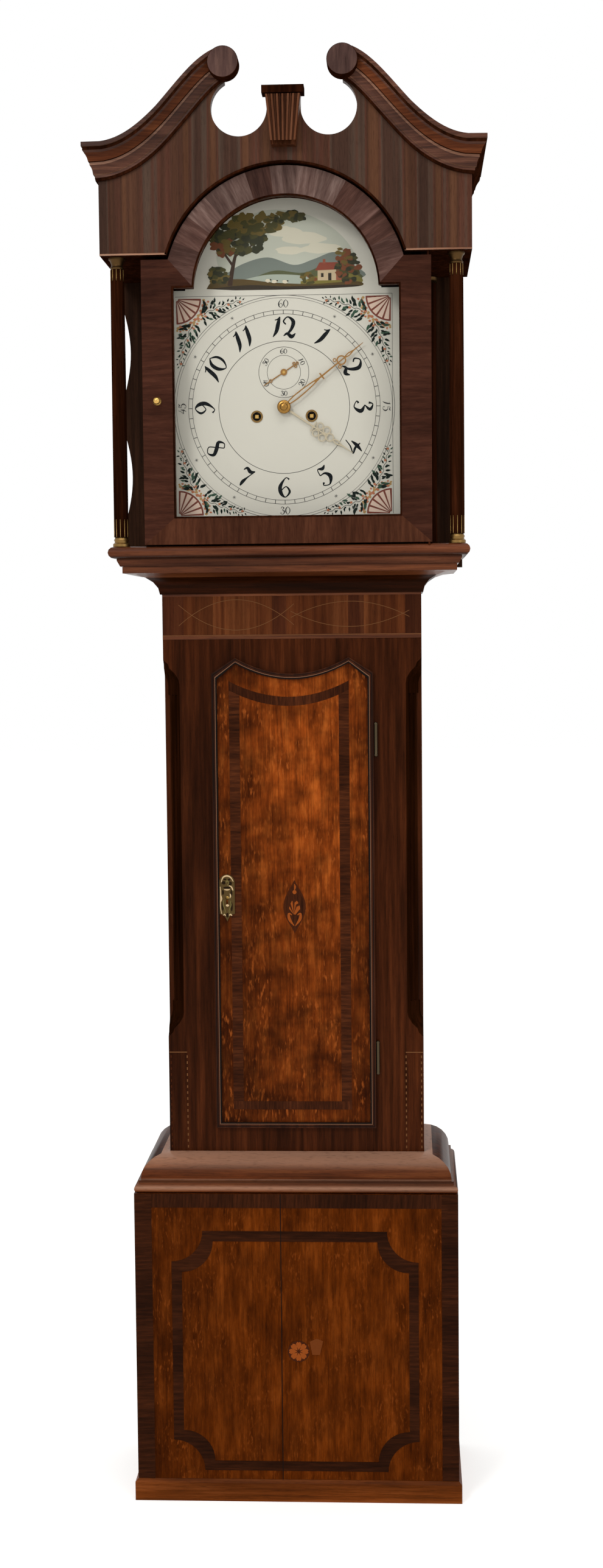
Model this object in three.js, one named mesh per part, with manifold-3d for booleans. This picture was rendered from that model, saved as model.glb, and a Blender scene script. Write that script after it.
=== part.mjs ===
// Longcase clock with a swan-neck hood, an arched painted dial and an eight-day weight-driven movement.
// Millimetres, +Z up, the front faces -Y. The origin is on the floor, under the middle of the whole clock.
import * as THREE from "three";
import { mergeVertices } from "three/addons/utils/BufferGeometryUtils.js";
import Module from "manifold-3d";

const wasm = await Module();
wasm.setup();

// Fits
const gap = 0.3; // between pieces that touch
const runningGap = 1.5; // round doors and other moving wood
const overrun = 4; // how far a cut runs past what it cuts

// Overall build, from the floor up
const boardThickness = 14;
const trunkWidth = 402;
const trunkDepth = 180;
const baseOverhang = 52; // the base stands this far out from the trunk, in front and at each side
const hoodOverhang = 77.5; // and the hood's frieze this far
const plinthHeight = 34.5;
const basePanelHeight = 457.2;
const baseMouldingHeight = 55;
const trunkHeight = 878; // between the mouldings
const throatHeight = 42;
const hoodBaseHeight = 29.7;
const friezeRise = 433; // from the hood's floor up to the underside of its frieze
const friezeHeight = 109; // up to the pediment's return at the hood's corners
const archDrop = 54; // the arches' centre below the frieze's underside

// Pediment
const cornerHeight = 54;
const pedimentProjection = 22;
const neckRise = 137; // from the middle of the return up to the roundel's
const neckSteps = 9;
const roundelSpacing = 176;
const roundelRadius = 23;
const roundelProud = 5.9; // how far the roundel stands in front of the moulding

// Trunk
const stileThickness = 20;
const stileWidth = 89;
const cantLeg = 25;
const cantBottomRise = 183; // above the base moulding
const cantTopDrop = 101; // below the throat moulding
const cantStopLength = 39;
const cantFluteRadius = 2.6;
const cantFluteCount = 3;
const cantFluteMargin = 16;
const trunkTenon = 60; // how far the trunk's sides run down inside the base
const railOverlap = 12; // how far stiles and rails run on behind the mouldings
const topRailHeight = 140;
const bottomRailHeight = 52;

// Trunk door
const doorOverlap = 14; // the lip over the stile at each side
const doorBottomOverlap = 13;
const doorShoulderOverlap = 17;
const doorPeakRise = 24;
const doorPeakInset = 38;
const doorDipRise = -1;
const doorLip = 8; // thickness of the lip in front of the frame
const doorBeadWidth = 9;
const doorBeadRise = 3;
const doorTenonThickness = 17;
const hingePinInset = 3.6;
const hingePinForward = 6;
const hingeRadius = 2.6;
const hingeHeight = 45;
const hingeBallRadius = 3.2;
const hingeLeaf = 1.4;
const hingeLeafDepth = 14;
const upperHingeDrop = 104; // its middle below the door's shoulders
const lowerHingeRise = 112; // its middle above the door's bottom
const escutcheonWidth = 24;
const escutcheonHeight = 74;
const escutcheonThickness = 1.6;
const escutcheonInset = 21; // from the door's left edge to its middle
const escutcheonRise = 365; // its middle above the door's bottom
const keyholeRadius = 3.2;
const keySlotWidth = 3;
const keySlotLength = 9;
const boltWidth = 8;
const boltHeight = 24;
const boltLength = 20;
const boltThrow = 7;

// Base
const panelThickness = 18;
const plinthThickness = 26;
const plinthProjection = 4.5;
const plinthChamfer = 5;
const floorBoardThickness = 12;
const floorBoardHeight = 16;

// Throat moulding and hood base
const hoodTorusInset = 4; // behind the frieze's front
const hoodTorusHeight = 18;
const hoodFilletInset = 7.5; // behind the torus
const throatInset = 12; // behind the hood base's lower fillet
const throatFillet = 3;
const fasciaHeight = 10;
const hoodBaseGap = 2; // round the trunk, so that the hood slides off

// Base moulding
const baseMouldingStep = 10; // the ovolo's foot behind the base's front
const baseMouldingFlat = 3;
const baseMouldingTorus = 13;
const baseMouldingFillet = 6;

// Hood
const hoodSideThickness = 14;
const hoodCheekGap = 2.5; // between the hood's sides and the trunk's inside them
const hoodSideRise = 14; // above the middle of the pediment's return
const tympanumThickness = 16;
const tympanumArchRadius = 186;
const soffitThickness = 14;
const roofThickness = 12;
const roofDrop = 18; // the roof's underside below the top of the hood's sides
const rearColumnRadius = 11;
const cutOutRadius = 42;
const cutOutInset = 21; // from the roundel's middle in to the cut-out's
const cutOutDrop = 60; // and down
const keystoneRise = 14; // the cap's underside above the middle of the cut-outs
const keystoneHeight = 73;
const keystoneCapHeight = 11;
const keystoneCapWidth = 62.5;
const keystoneCapDepth = 27;
const keystoneTopWidth = 52.5;
const keystoneBottomWidth = 36.6;
const keystoneDepth = 20;
const keystoneFluteDepth = 2.2;
const keystoneFluteCount = 6;
const columnInset = 23; // from the frieze corner to the column's axis
const columnRadius = 9.5;
const columnNeckRadius = 8.7;
const capitalHeight = 17;
const columnBaseHeight = 14;
const columnFootRadius = 13;

// Hood door
const hoodDoorRecess = 6;
const hoodDoorThickness = 20;
const hoodDoorBottomGap = 2;
const hoodDoorTopGap = 6;
const hoodDoorArchGap = 3;
const hoodDoorStile = 48;
const hoodDoorRail = 42;
const hoodDoorArchWidth = 44;
const glassShoulderRise = 6; // above the arches' centre
const glassThickness = 3;
const glassRebate = 6;
const glassRebateDepth = 9;
const knobRadius = 6.5;
const knobLength = 14;
const knobRise = 6; // above the centre of the dial
const knobInset = 22;
const hoodPivotInset = 4.5;
const hoodPivotSetback = 2;
const hoodPivotRadius = 1.6;
const hoodPivotReach = 6; // into the hood above and below the door

// Backboard ears behind the hood's columns
const earInset = 9.5; // inside the frieze's ends
const earDip = 12;
const earScallopCount = 2;
const earScallopPitch = 190;
const earScallopLength = 165;
const earTuck = 14; // how far the scallops' middle is below the columns' middle
const backboardDrop = 22; // the backboard's top below the roof

// Dial and movement, about the centre arbor
const dialShift = -7; // the movement stands a little to the left
const dialDrop = 168; // the centre arbor below the arches' centre
const dialMargin = 8.5; // how far the dial runs on behind the door's stiles
const dialArchMargin = 11; // and behind its arch
const dialThickness = 2;
const dialSetback = 34; // behind the hood door
const dialToPlate = 38;
const dialFootRadius = 3;
const handHoleRadius = 7;
const windingHoleRadius = 8.5;
const secondsHoleRadius = 3;
const windingSpread = 42; // the winding squares to each side of the centre
const windingDrop = 13.5;
const plateWidth = 128;
const plateTop = 96;
const plateBottom = 70;
const plateThickness = 3;
const plateGap = 64;
const pillarRadius = 6;
const pillarInset = 10;
const pillarPin = 3;
const dialFootInset = 46;
const pivotRadius = 1.5;
const pivotClearance = 0.3;
const arborRadius = 2.2;
const seatThickness = 19.4;
const seatDepth = 92;
const seatForward = 4; // the seat board stands this far in front of the front plate
const lineHoleRadius = 4;

// Going train: tooth counts, and the distance between arbors gives each pitch circle
const greatTeeth = 96;
const centrePinionLeaves = 8;
const centreTeeth = 60;
const thirdPinionLeaves = 8;
const thirdTeeth = 56;
const escapePinionLeaves = 7;
const escapeTeeth = 30;
const strikeTeeth = 78;
const centreToThird = 27.9;
const thirdToEscape = 27.1;
const thirdBearing = 15.27; // degrees right of upright, from the centre arbor
const wheelThickness = 2.4;
const pinionLength = 7;
const escapeRadius = 20.5;
const escapeToothHeight = 4.2;
const palletRise = 30; // the anchor's arbor above the escape wheel's
const palletClearance = 1.4;
const barrelRadius = 21;
const barrelLength = 40;
const barrelCap = 24;
const barrelCapThickness = 2.5;
const windingSquare = 5.2;
const windingArbor = 4;
const barrelRoom = 6;
const wheelRoom = 4.5;
const ratchetRadius = 14;
const ratchetThickness = 2;

// Hands
const minuteHandLength = 154;
const hourHandLength = 126;
const secondsHandLength = 37;
const handThickness = 1.2;
const handSpacing = 2.6;
const handBossRadius = 9;
const hourPipeRadius = 5;
const secondsBossRadius = 5;
const secondsTailShare = 0.75;
const secondsHandRise = 1.6; // in front of the dial, under the other hands
const minuteHandAngle = 52; // degrees clockwise from twelve
const hourHandAngle = 124;
const secondsHandAngle = 237;

// Pendulum, weights and lines
const pendulumLength = 994;
const pendulumBack = 25; // behind the back plate
const pendulumRodRadius = 2.5;
const bobRadius = 52;
const bobThickness = 26;
const ratingNutRadius = 9;
const ratingNutHeight = 8;
const crutchLength = 130;
const crutchRoom = 5;
const crutchThickness = 3;
const springThickness = 0.6;
const springWidth = 6;
const springSway = 0.9;
const cockRise = 5; // the cock's underside above the anchor's arbor
const cockHeight = 8;
const cockFoot = 18;
const cockThickness = 4;
const cockArm = 6;
const lineSteps = 8;
const lineSides = 6;
const weightRadius = 33;
const weightHeight = 215;
const weightTopCap = 6;
const pulleyRadius = 22;
const pulleyThickness = 8;
const pulleyGroove = 2.5;
const pulleyDrop = 62; // the pulley's axis under the seat board
const lineRadius = 1;
const linePlace = 37; // the line's distance behind the front plate
const stirrupThickness = 2;
const stirrupWidth = 12;
const hookLength = 26;

// Striking
const bellRadius = 48;
const bellThickness = 2.4;
const bellRise = 128;
const bellPostRadius = 3.5;
const hammerRadius = 5;
const hammerRise = 66;
const hammerSide = 28;
const bellHeight = 30;
const bellLip = 6;
const domeSteps = 4;
const bellClearance = 4;
const bellStrap = 5;
const bellBracket = 38;

// Heights that follow from those above
const baseTop = plinthHeight + gap + basePanelHeight;
const baseMouldingTop = baseTop + baseMouldingHeight;
const throatBottom = baseMouldingTop + trunkHeight;
const throatTop = throatBottom + throatHeight;
const hoodFloor = throatTop + gap + hoodBaseHeight;
const friezeBottom = hoodFloor + friezeRise;
const archCentreHeight = friezeBottom - archDrop;
const pedimentMiddle = friezeBottom + friezeHeight + cornerHeight / 2;
const roundelHeight = pedimentMiddle + neckRise;
const cutOutHeight = roundelHeight - cutOutDrop;
const keystoneCapBottom = cutOutHeight + keystoneRise;
const keystoneBottom = keystoneCapBottom - keystoneHeight;
const hoodSideTop = pedimentMiddle + hoodSideRise;
const roofHeight = hoodSideTop - roofDrop;
const backboardTop = roofHeight - backboardDrop;
const topRailBottom = throatBottom - topRailHeight;
const bottomRailTop = baseMouldingTop + bottomRailHeight;
const cantBottomStop = baseMouldingTop + cantBottomRise;
const cantTopStop = throatBottom - cantTopDrop;
const doorBottom = bottomRailTop - doorBottomOverlap;
const doorShoulder = topRailBottom + doorShoulderOverlap;
const escutcheonMiddle = doorBottom + escutcheonRise;
const hoodDoorBottom = hoodFloor + hoodDoorBottomGap;
const hoodDoorTop = friezeBottom - hoodDoorTopGap;
const glassBottom = hoodDoorBottom + hoodDoorRail;
const glassShoulder = archCentreHeight + glassShoulderRise;
const dialHeight = archCentreHeight - dialDrop;
const seatTop = dialHeight - plateBottom - gap;
const seatBottom = seatTop - seatThickness;
const cheekTop = seatBottom - gap; // the trunk's sides run up inside the hood to carry the movement

// Widths that follow
const trunkHalf = trunkWidth / 2;
const baseHalf = trunkHalf + baseOverhang;
const hoodHalf = trunkHalf + hoodOverhang;
const bodyHalf = trunkHalf + hoodCheekGap + hoodSideThickness; // over the hood's door and sides
const openingHalf = trunkHalf - stileWidth;
const doorHalf = openingHalf + doorOverlap;
const roundelX = roundelSpacing / 2;
const cutOutX = roundelX - cutOutInset;
const glassHalf = bodyHalf - hoodDoorStile;
const hoodDoorArchRadius = tympanumArchRadius - hoodDoorArchGap;
const glassRadius = hoodDoorArchRadius - hoodDoorArchWidth;
const dialHalf = glassHalf + dialMargin;
const dialArchRadius = glassRadius + dialArchMargin;
const hoodTorusProjection = hoodOverhang - hoodTorusInset;
const hoodFilletProjection = hoodTorusProjection - hoodFilletInset;
const throatProjection = hoodFilletProjection - throatInset;

// Depths that follow, the roundels' faces and the back being the limits
const roundelFront = pedimentProjection + roundelProud;
const overallDepth = trunkDepth + hoodOverhang + gap + roundelFront;
const backY = overallDepth / 2;
const boardFrontY = backY - boardThickness; // front face of the backboard
const trunkFrontY = backY - trunkDepth;
const baseFrontY = trunkFrontY - baseOverhang;
const hoodFrontY = trunkFrontY - hoodOverhang;
const hoodBackY = boardFrontY - gap;
const hoodDoorFrontY = hoodFrontY + hoodDoorRecess;
const hoodDoorBackY = hoodDoorFrontY + hoodDoorThickness;
const dialFrontY = hoodDoorBackY + dialSetback;
const dialBackY = dialFrontY + dialThickness;
const secondsHandY = dialFrontY - secondsHandRise;
const hourHandY = dialFrontY - handSpacing - handThickness;
const minuteHandY = hourHandY - handSpacing - handThickness;
const plateFrontY = dialBackY + dialToPlate;
const trainFrontY = plateFrontY + plateThickness; // inner face of the front plate
const trainBackY = trainFrontY + plateGap; // inner face of the back plate
const plateBackY = trainBackY + plateThickness;
const pendulumY = plateBackY + pendulumBack;

// The going train's places
const thirdX = centreToThird * Math.sin(THREE.MathUtils.degToRad(thirdBearing));
const thirdRise = centreToThird * Math.cos(THREE.MathUtils.degToRad(thirdBearing));
const secondsRise = thirdRise + Math.sqrt(thirdToEscape ** 2 - thirdX ** 2);
const suspensionRise = secondsRise + palletRise;
const greatDistance = Math.hypot(windingSpread, windingDrop);

// Boolean solids

function solidFrom(geometry) {
  const bare = geometry.index ? geometry.toNonIndexed() : geometry.clone();
  for (const name of Object.keys(bare.attributes)) {
    if (name !== "position") bare.deleteAttribute(name);
  }
  const merged = mergeVertices(bare, gap / 1000);
  return new wasm.Manifold(
    new wasm.Mesh({
      numProp: 3,
      vertProperties: merged.attributes.position.array,
      triVerts: new Uint32Array(merged.index.array),
    }),
  );
}

function geometryFrom(solid) {
  const mesh = solid.getMesh();
  const positions = new Float32Array(mesh.numVert * 3);
  for (let i = 0; i < mesh.numVert; i++) {
    positions.set(mesh.vertProperties.subarray(i * mesh.numProp, i * mesh.numProp + 3), i * 3);
  }
  const geometry = new THREE.BufferGeometry();
  geometry.setAttribute("position", new THREE.BufferAttribute(positions, 3));
  geometry.setIndex(new THREE.BufferAttribute(new Uint32Array(mesh.triVerts), 1));
  return geometry;
}

const join = (first, ...others) => others.reduce((sum, other) => sum.add(other), first);
const cut = (first, ...others) => others.reduce((rest, other) => rest.subtract(other), first);

// A box between two corners.
function block(x0, x1, y0, y1, z0, z1) {
  const geometry = new THREE.BoxGeometry(x1 - x0, y1 - y0, z1 - z0);
  geometry.translate((x0 + x1) / 2, (y0 + y1) / 2, (z0 + z1) / 2);
  return solidFrom(geometry);
}

// A front view outline (x, z), given thickness from y0 back to y1.
function panel(shape, y0, y1, curveSegments = 12) {
  const geometry = new THREE.ExtrudeGeometry(shape, { depth: y1 - y0, bevelEnabled: false, curveSegments });
  geometry.rotateX(Math.PI / 2);
  geometry.translate(0, y1, 0);
  return solidFrom(geometry);
}

// A plan outline (x, y), raised from z0 to z1.
function column(shape, z0, z1, curveSegments = 12) {
  const geometry = new THREE.ExtrudeGeometry(shape, { depth: z1 - z0, bevelEnabled: false, curveSegments });
  geometry.translate(0, 0, z0);
  return solidFrom(geometry);
}

// A turned solid about a vertical axis, from [radius, height] points that start and end on the axis.
function turned(points, segments = 24) {
  const geometry = new THREE.LatheGeometry(points.map(([r, z]) => new THREE.Vector2(r, z)), segments);
  geometry.rotateX(Math.PI / 2);
  const solid = solidFrom(geometry);
  return solid.volume() < 0 ? turned(points.toReversed(), segments) : solid;
}

// A turned solid about an axis that runs front to back, from [radius, y] points.
function turnedAlongY(points, segments = 24) {
  return turned(points, segments).rotate([-90, 0, 0]);
}

const rod = (radius, z0, z1, segments = 10) =>
  turned([[0, z0], [radius, z0], [radius, z1], [0, z1]], segments);
const rodAlongY = (radius, y0, y1, segments = 10) =>
  turnedAlongY([[0, y0], [radius, y0], [radius, y1], [0, y1]], segments);

function outline(points) {
  return new THREE.Shape(points.map(([x, z]) => new THREE.Vector2(x, z)));
}

// Joins rings of equal point counts into one closed skin with flat ends.
function loft(rings) {
  const count = rings[0].length;
  const positions = rings.flat().flatMap((point) => [point.x, point.y, point.z]);
  const index = [];
  for (let i = 0; i + 1 < rings.length; i++) {
    for (let j = 0; j < count; j++) {
      const a = i * count + j;
      const b = i * count + ((j + 1) % count);
      index.push(a, b, a + count, b, b + count, a + count);
    }
  }
  const end = (rings.length - 1) * count;
  for (const [a, b, c] of flatTriangles(rings[0])) index.push(a, c, b);
  for (const [a, b, c] of flatTriangles(rings.at(-1))) index.push(end + a, end + b, end + c);
  const geometry = new THREE.BufferGeometry();
  geometry.setAttribute("position", new THREE.BufferAttribute(new Float32Array(positions), 3));
  geometry.setIndex(index);
  const solid = solidFrom(geometry);
  return solid.volume() < 0 ? solidFrom(turnedInsideOut(geometry)) : solid;
}

// The triangles that fill a flat ring, turned the way the ring runs.
function flatTriangles(ring) {
  const normal = new THREE.Vector3();
  ring.forEach((point, i) => {
    normal.add(new THREE.Vector3().crossVectors(point, ring[(i + 1) % ring.length]));
  });
  normal.normalize();
  const side = new THREE.Vector3().subVectors(ring[1], ring[0]).normalize();
  const up = new THREE.Vector3().crossVectors(normal, side);
  const points = ring.map((point) => new THREE.Vector2(point.dot(side), point.dot(up)));
  return THREE.ShapeUtils.triangulateShape(points, []);
}

function turnedInsideOut(geometry) {
  const index = Array.from(geometry.index.array);
  for (let i = 0; i < index.length; i += 3) {
    [index[i + 1], index[i + 2]] = [index[i + 2], index[i + 1]];
  }
  const turned = geometry.clone();
  turned.setIndex(index);
  return turned;
}

// A moulding round the front and both sides of a box, mitred at its front corners.
// The profile is [out, z] points, out being the distance from the box's faces.
function threeSided(profile, half, frontY, endY) {
  const corner = (sign, y) => profile.map(([out, z]) => new THREE.Vector3(sign * (half + out), y(out), z));
  return loft([
    corner(-1, () => endY),
    corner(-1, (out) => frontY - out),
    corner(1, (out) => frontY - out),
    corner(1, () => endY),
  ]);
}

// Points of a quarter ellipse, from one end to the other.
function quarter(centre, radii, startDegrees, steps = 5) {
  return Array.from({ length: steps + 1 }, (_, i) => {
    const angle = THREE.MathUtils.degToRad(startDegrees + (90 * i) / steps);
    return [centre[0] + radii[0] * Math.cos(angle), centre[1] + radii[1] * Math.sin(angle)];
  });
}

// A half round nose between two heights, bulging out from a given distance.
function nose(out, bottom, top, steps = 6) {
  const radius = (top - bottom) / 2;
  return Array.from({ length: steps + 1 }, (_, i) => {
    const angle = -Math.PI / 2 + (Math.PI * i) / steps;
    return [out + radius * Math.cos(angle), bottom + radius + radius * Math.sin(angle)];
  });
}

// Materials
const finishes = {
  mahogany: { color: 0x4a1f12, roughness: 0.32, metalness: 0 },
  oak: { color: 0x8a4a1e, roughness: 0.38, metalness: 0 },
  pine: { color: 0x8d6a45, roughness: 0.7, metalness: 0 },
  brass: { color: 0xb08a3c, roughness: 0.3, metalness: 1 },
  steel: { color: 0x8f8f8c, roughness: 0.35, metalness: 1 },
  paintedIron: { color: 0xe4e2d6, roughness: 0.4, metalness: 0 },
  castIron: { color: 0x2f2d2b, roughness: 0.7, metalness: 0.6 },
  glass: { color: 0xdfe8e6, roughness: 0.05, metalness: 0 },
  gut: { color: 0xb79b62, roughness: 0.6, metalness: 0 },
};
const materials = Object.fromEntries(
  Object.entries(finishes).map(([name, values]) => {
    return [name, new THREE.MeshStandardMaterial({ name, ...values })];
  }),
);

const clock = new THREE.Group();
const caseGroup = new THREE.Group();
const hoodGroup = new THREE.Group();
const movement = new THREE.Group();
movement.position.set(dialShift, 0, dialHeight);
clock.add(caseGroup, hoodGroup, movement);

function add(group, name, finish, solid, x = 0, z = 0) {
  const mesh = new THREE.Mesh(geometryFrom(solid), materials[finish]);
  mesh.name = name;
  mesh.position.set(x, 0, z);
  group.add(mesh);
}

// Backboard, full height, with scalloped ears behind the hood's columns

const earHalf = hoodHalf - earInset;
const earCentre = (hoodFloor + friezeBottom) / 2 - earTuck;

function backboard() {
  const shape = new THREE.Shape();
  shape.moveTo(-baseHalf, 0);
  shape.lineTo(baseHalf, 0);
  shape.lineTo(baseHalf, baseTop - gap);
  shape.lineTo(trunkHalf, baseTop - gap);
  shape.lineTo(trunkHalf, throatTop + gap);
  shape.lineTo(earHalf, throatTop + gap);
  for (let i = 0; i < earScallopCount; i++) {
    const middle = earCentre + (i - (earScallopCount - 1) / 2) * earScallopPitch;
    shape.lineTo(earHalf, middle - earScallopLength / 2);
    shape.quadraticCurveTo(earHalf - 2 * earDip, middle, earHalf, middle + earScallopLength / 2);
  }
  shape.lineTo(earHalf, backboardTop);
  shape.lineTo(-earHalf, backboardTop);
  for (let i = earScallopCount - 1; i >= 0; i--) {
    const middle = earCentre + (i - (earScallopCount - 1) / 2) * earScallopPitch;
    shape.lineTo(-earHalf, middle + earScallopLength / 2);
    shape.quadraticCurveTo(2 * earDip - earHalf, middle, -earHalf, middle - earScallopLength / 2);
  }
  shape.lineTo(-earHalf, throatTop + gap);
  shape.lineTo(-trunkHalf, throatTop + gap);
  shape.lineTo(-trunkHalf, baseTop - gap);
  shape.lineTo(-baseHalf, baseTop - gap);
  return panel(shape, boardFrontY, backY, 8);
}
add(caseGroup, "backboard", "pine", backboard());

// Trunk: sides, front stiles with canted and fluted corners, and the rails between them

const trunkSide = block(
  -trunkHalf,
  boardThickness - trunkHalf,
  trunkFrontY + stileThickness + gap,
  boardFrontY - gap,
  baseTop - trunkTenon,
  cheekTop,
);
add(caseGroup, "trunk_side_left", "mahogany", trunkSide);
add(caseGroup, "trunk_side_right", "mahogany", trunkSide.mirror([1, 0, 0]));

const lambsTongueShares = [[0, 0], [0.18, 0.3], [0.34, 0.38], [0.56, 0.72], [0.8, 0.94], [1, 1]];

// Cuts the left front corner away at 45 degrees, running out at both ends in a double curve.
function cantCutter() {
  const tongue = (stop, length) => {
    return lambsTongueShares.map(([run, leg]) => [stop + run * length, leg * cantLeg]);
  };
  const bottom = tongue(cantBottomStop, cantStopLength);
  const top = tongue(cantTopStop, -cantStopLength).reverse();
  return loft(
    [...bottom, ...top].map(([z, leg]) => [
      new THREE.Vector3(leg + overrun - trunkHalf, trunkFrontY - overrun, z),
      new THREE.Vector3(-trunkHalf - overrun, trunkFrontY + leg + overrun, z),
      new THREE.Vector3(-trunkHalf - overrun, trunkFrontY - overrun, z),
    ]),
  );
}

function cantFlutes() {
  const pitch = cantLeg / (cantFluteCount + 1);
  const low = cantBottomStop + cantStopLength + cantFluteMargin;
  const high = cantTopStop - cantStopLength - cantFluteMargin;
  return Array.from({ length: cantFluteCount }, (_, i) =>
    rod(cantFluteRadius, low, high, 8).translate([
      (i + 1) * pitch - trunkHalf,
      trunkFrontY + cantLeg - (i + 1) * pitch,
      0,
    ]),
  );
}

const stileBlank = block(
  -trunkHalf,
  -openingHalf,
  trunkFrontY,
  trunkFrontY + stileThickness,
  baseTop - railOverlap,
  throatTop,
);
const leftStile = cut(stileBlank, cantCutter(), ...cantFlutes());
const pinX = doorHalf + hingePinInset;
const pinY = trunkFrontY - hingePinForward;
const upperHingeHeight = doorShoulder - upperHingeDrop;
const lowerHingeHeight = doorBottom + lowerHingeRise;
const boltY = trunkFrontY + doorTenonThickness / 2;

function boltPocket(from, to) {
  return block(
    from,
    to,
    boltY - boltWidth / 2 - gap,
    boltY + boltWidth / 2 + gap,
    escutcheonMiddle - boltHeight / 2 - gap,
    escutcheonMiddle + boltHeight / 2 + gap,
  );
}

function hingeSlot(height) {
  return block(
    pinX - hingeLeaf / 2 - gap,
    pinX + hingeLeaf / 2 + gap,
    trunkFrontY - overrun,
    trunkFrontY + hingeLeafDepth + gap,
    height - hingeHeight / 2 - gap,
    height + hingeHeight / 2 + gap,
  );
}

add(
  caseGroup,
  "trunk_stile_left",
  "mahogany",
  cut(leftStile, boltPocket(-openingHalf - boltThrow - runningGap, overrun - openingHalf)),
);
add(
  caseGroup,
  "trunk_stile_right",
  "mahogany",
  cut(leftStile.mirror([1, 0, 0]), hingeSlot(upperHingeHeight), hingeSlot(lowerHingeHeight)),
);

function rail(bottom, top) {
  return block(gap - openingHalf, openingHalf - gap, trunkFrontY, trunkFrontY + stileThickness, bottom, top);
}
add(caseGroup, "trunk_top_rail", "mahogany", rail(topRailBottom, throatTop));
add(caseGroup, "trunk_bottom_rail", "mahogany", rail(baseTop - railOverlap, bottomRailTop));

function hinge(height) {
  const half = hingeHeight / 2;
  const ball = (z) => solidFrom(new THREE.SphereGeometry(hingeBallRadius, 8, 4)).translate([0, 0, z]);
  const leaf = block(
    -hingeLeaf / 2,
    hingeLeaf / 2,
    0,
    hingePinForward + hingeLeafDepth,
    -half,
    half,
  );
  return join(
    rod(hingeRadius, -half, half, 8),
    ball(-half - hingeBallRadius / 2),
    ball(half + hingeBallRadius / 2),
    leaf,
  ).translate([pinX, pinY, height]);
}
add(caseGroup, "trunk_hinge_upper", "brass", hinge(upperHingeHeight));
add(caseGroup, "trunk_hinge_lower", "brass", hinge(lowerHingeHeight));

// Throat moulding: a cove that carries the hood, under a narrow fascia

const throatCove = throatProjection - throatFillet;
const throatProfile = [
  [gap, throatBottom],
  [throatFillet, throatBottom],
  ...quarter(
    [throatCove, throatBottom],
    [throatCove - throatFillet, throatHeight - fasciaHeight],
    180,
  ).map(([out, z]) => [out, 2 * throatBottom - z]),
  [throatProjection, throatTop - fasciaHeight],
  [throatProjection, throatTop],
  [gap, throatTop],
];
add(caseGroup, "throat_moulding", "mahogany", threeSided(throatProfile, trunkHalf, trunkFrontY, backY));

// Base: moulding, panels and plinth

const torusTop = baseTop + gap + baseMouldingTorus;
const ovoloOut = baseOverhang - baseMouldingStep;
const torusOut = baseOverhang - baseMouldingTorus / 2;
const ovoloBottom = torusTop + baseMouldingFillet;
const baseMouldingProfile = [
  [gap, baseTop + gap],
  ...nose(torusOut, baseTop + gap, torusTop),
  [torusOut, ovoloBottom],
  [ovoloOut, ovoloBottom],
  ...quarter(
    [baseMouldingFlat, ovoloBottom + baseMouldingFillet / 2],
    [ovoloOut - baseMouldingFlat, baseMouldingTop - ovoloBottom - baseMouldingFillet / 2],
    0,
    6,
  ),
  [gap, baseMouldingTop],
];
add(caseGroup, "base_moulding", "mahogany", threeSided(baseMouldingProfile, trunkHalf, trunkFrontY, backY));

const panelBottom = plinthHeight + gap;
add(
  caseGroup,
  "base_front",
  "oak",
  block(-baseHalf, baseHalf, baseFrontY, baseFrontY + panelThickness, panelBottom, baseTop),
);
const baseSide = block(
  -baseHalf,
  panelThickness - baseHalf,
  baseFrontY + panelThickness + gap,
  boardFrontY - gap,
  panelBottom,
  baseTop,
);
add(caseGroup, "base_side_left", "oak", baseSide);
add(caseGroup, "base_side_right", "oak", baseSide.mirror([1, 0, 0]));

const plinthProfile = [
  [plinthProjection - plinthThickness, 0],
  [plinthProjection, 0],
  [plinthProjection, plinthHeight - plinthChamfer],
  [plinthProjection - plinthChamfer, plinthHeight],
  [plinthProjection - plinthThickness, plinthHeight],
];
const plinthInner = baseHalf + plinthProjection - plinthThickness;
const floorBoard = block(
  -plinthInner - overrun,
  plinthInner + overrun,
  baseFrontY - plinthProjection + plinthThickness - overrun,
  boardFrontY - gap,
  floorBoardHeight,
  floorBoardHeight + floorBoardThickness,
);
const plinthRing = threeSided(plinthProfile, baseHalf, baseFrontY, boardFrontY - gap);
add(caseGroup, "plinth", "mahogany", join(plinthRing, floorBoard));

// Seat board, on the trunk sides, with holes for the lines

const barrelSide = barrelRadius + lineRadius + gap;
const lineWrap = pulleyRadius - pulleyGroove + lineRadius + gap;
const lineX = windingSpread + barrelSide; // the strand that leaves the barrel
const pulleyX = lineX + lineWrap;
const lineY = trainFrontY + linePlace;
const seatFrontY = plateFrontY - seatForward;

function seatBoard() {
  const holes = [-1, 1].map((side) =>
    rod(lineHoleRadius, seatBottom - overrun, seatTop + overrun, 10).translate([
      dialShift + side * lineX,
      lineY,
      0,
    ]),
  );
  const half = trunkHalf - gap;
  return cut(block(-half, half, seatFrontY, seatFrontY + seatDepth, seatBottom, seatTop), ...holes);
}
add(caseGroup, "seat_board", "pine", seatBoard());

// Hood: sides with soffit and frieze, roof, tympanum and base frame

const hoodSideFrontY = hoodFrontY + tympanumThickness + gap;

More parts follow.
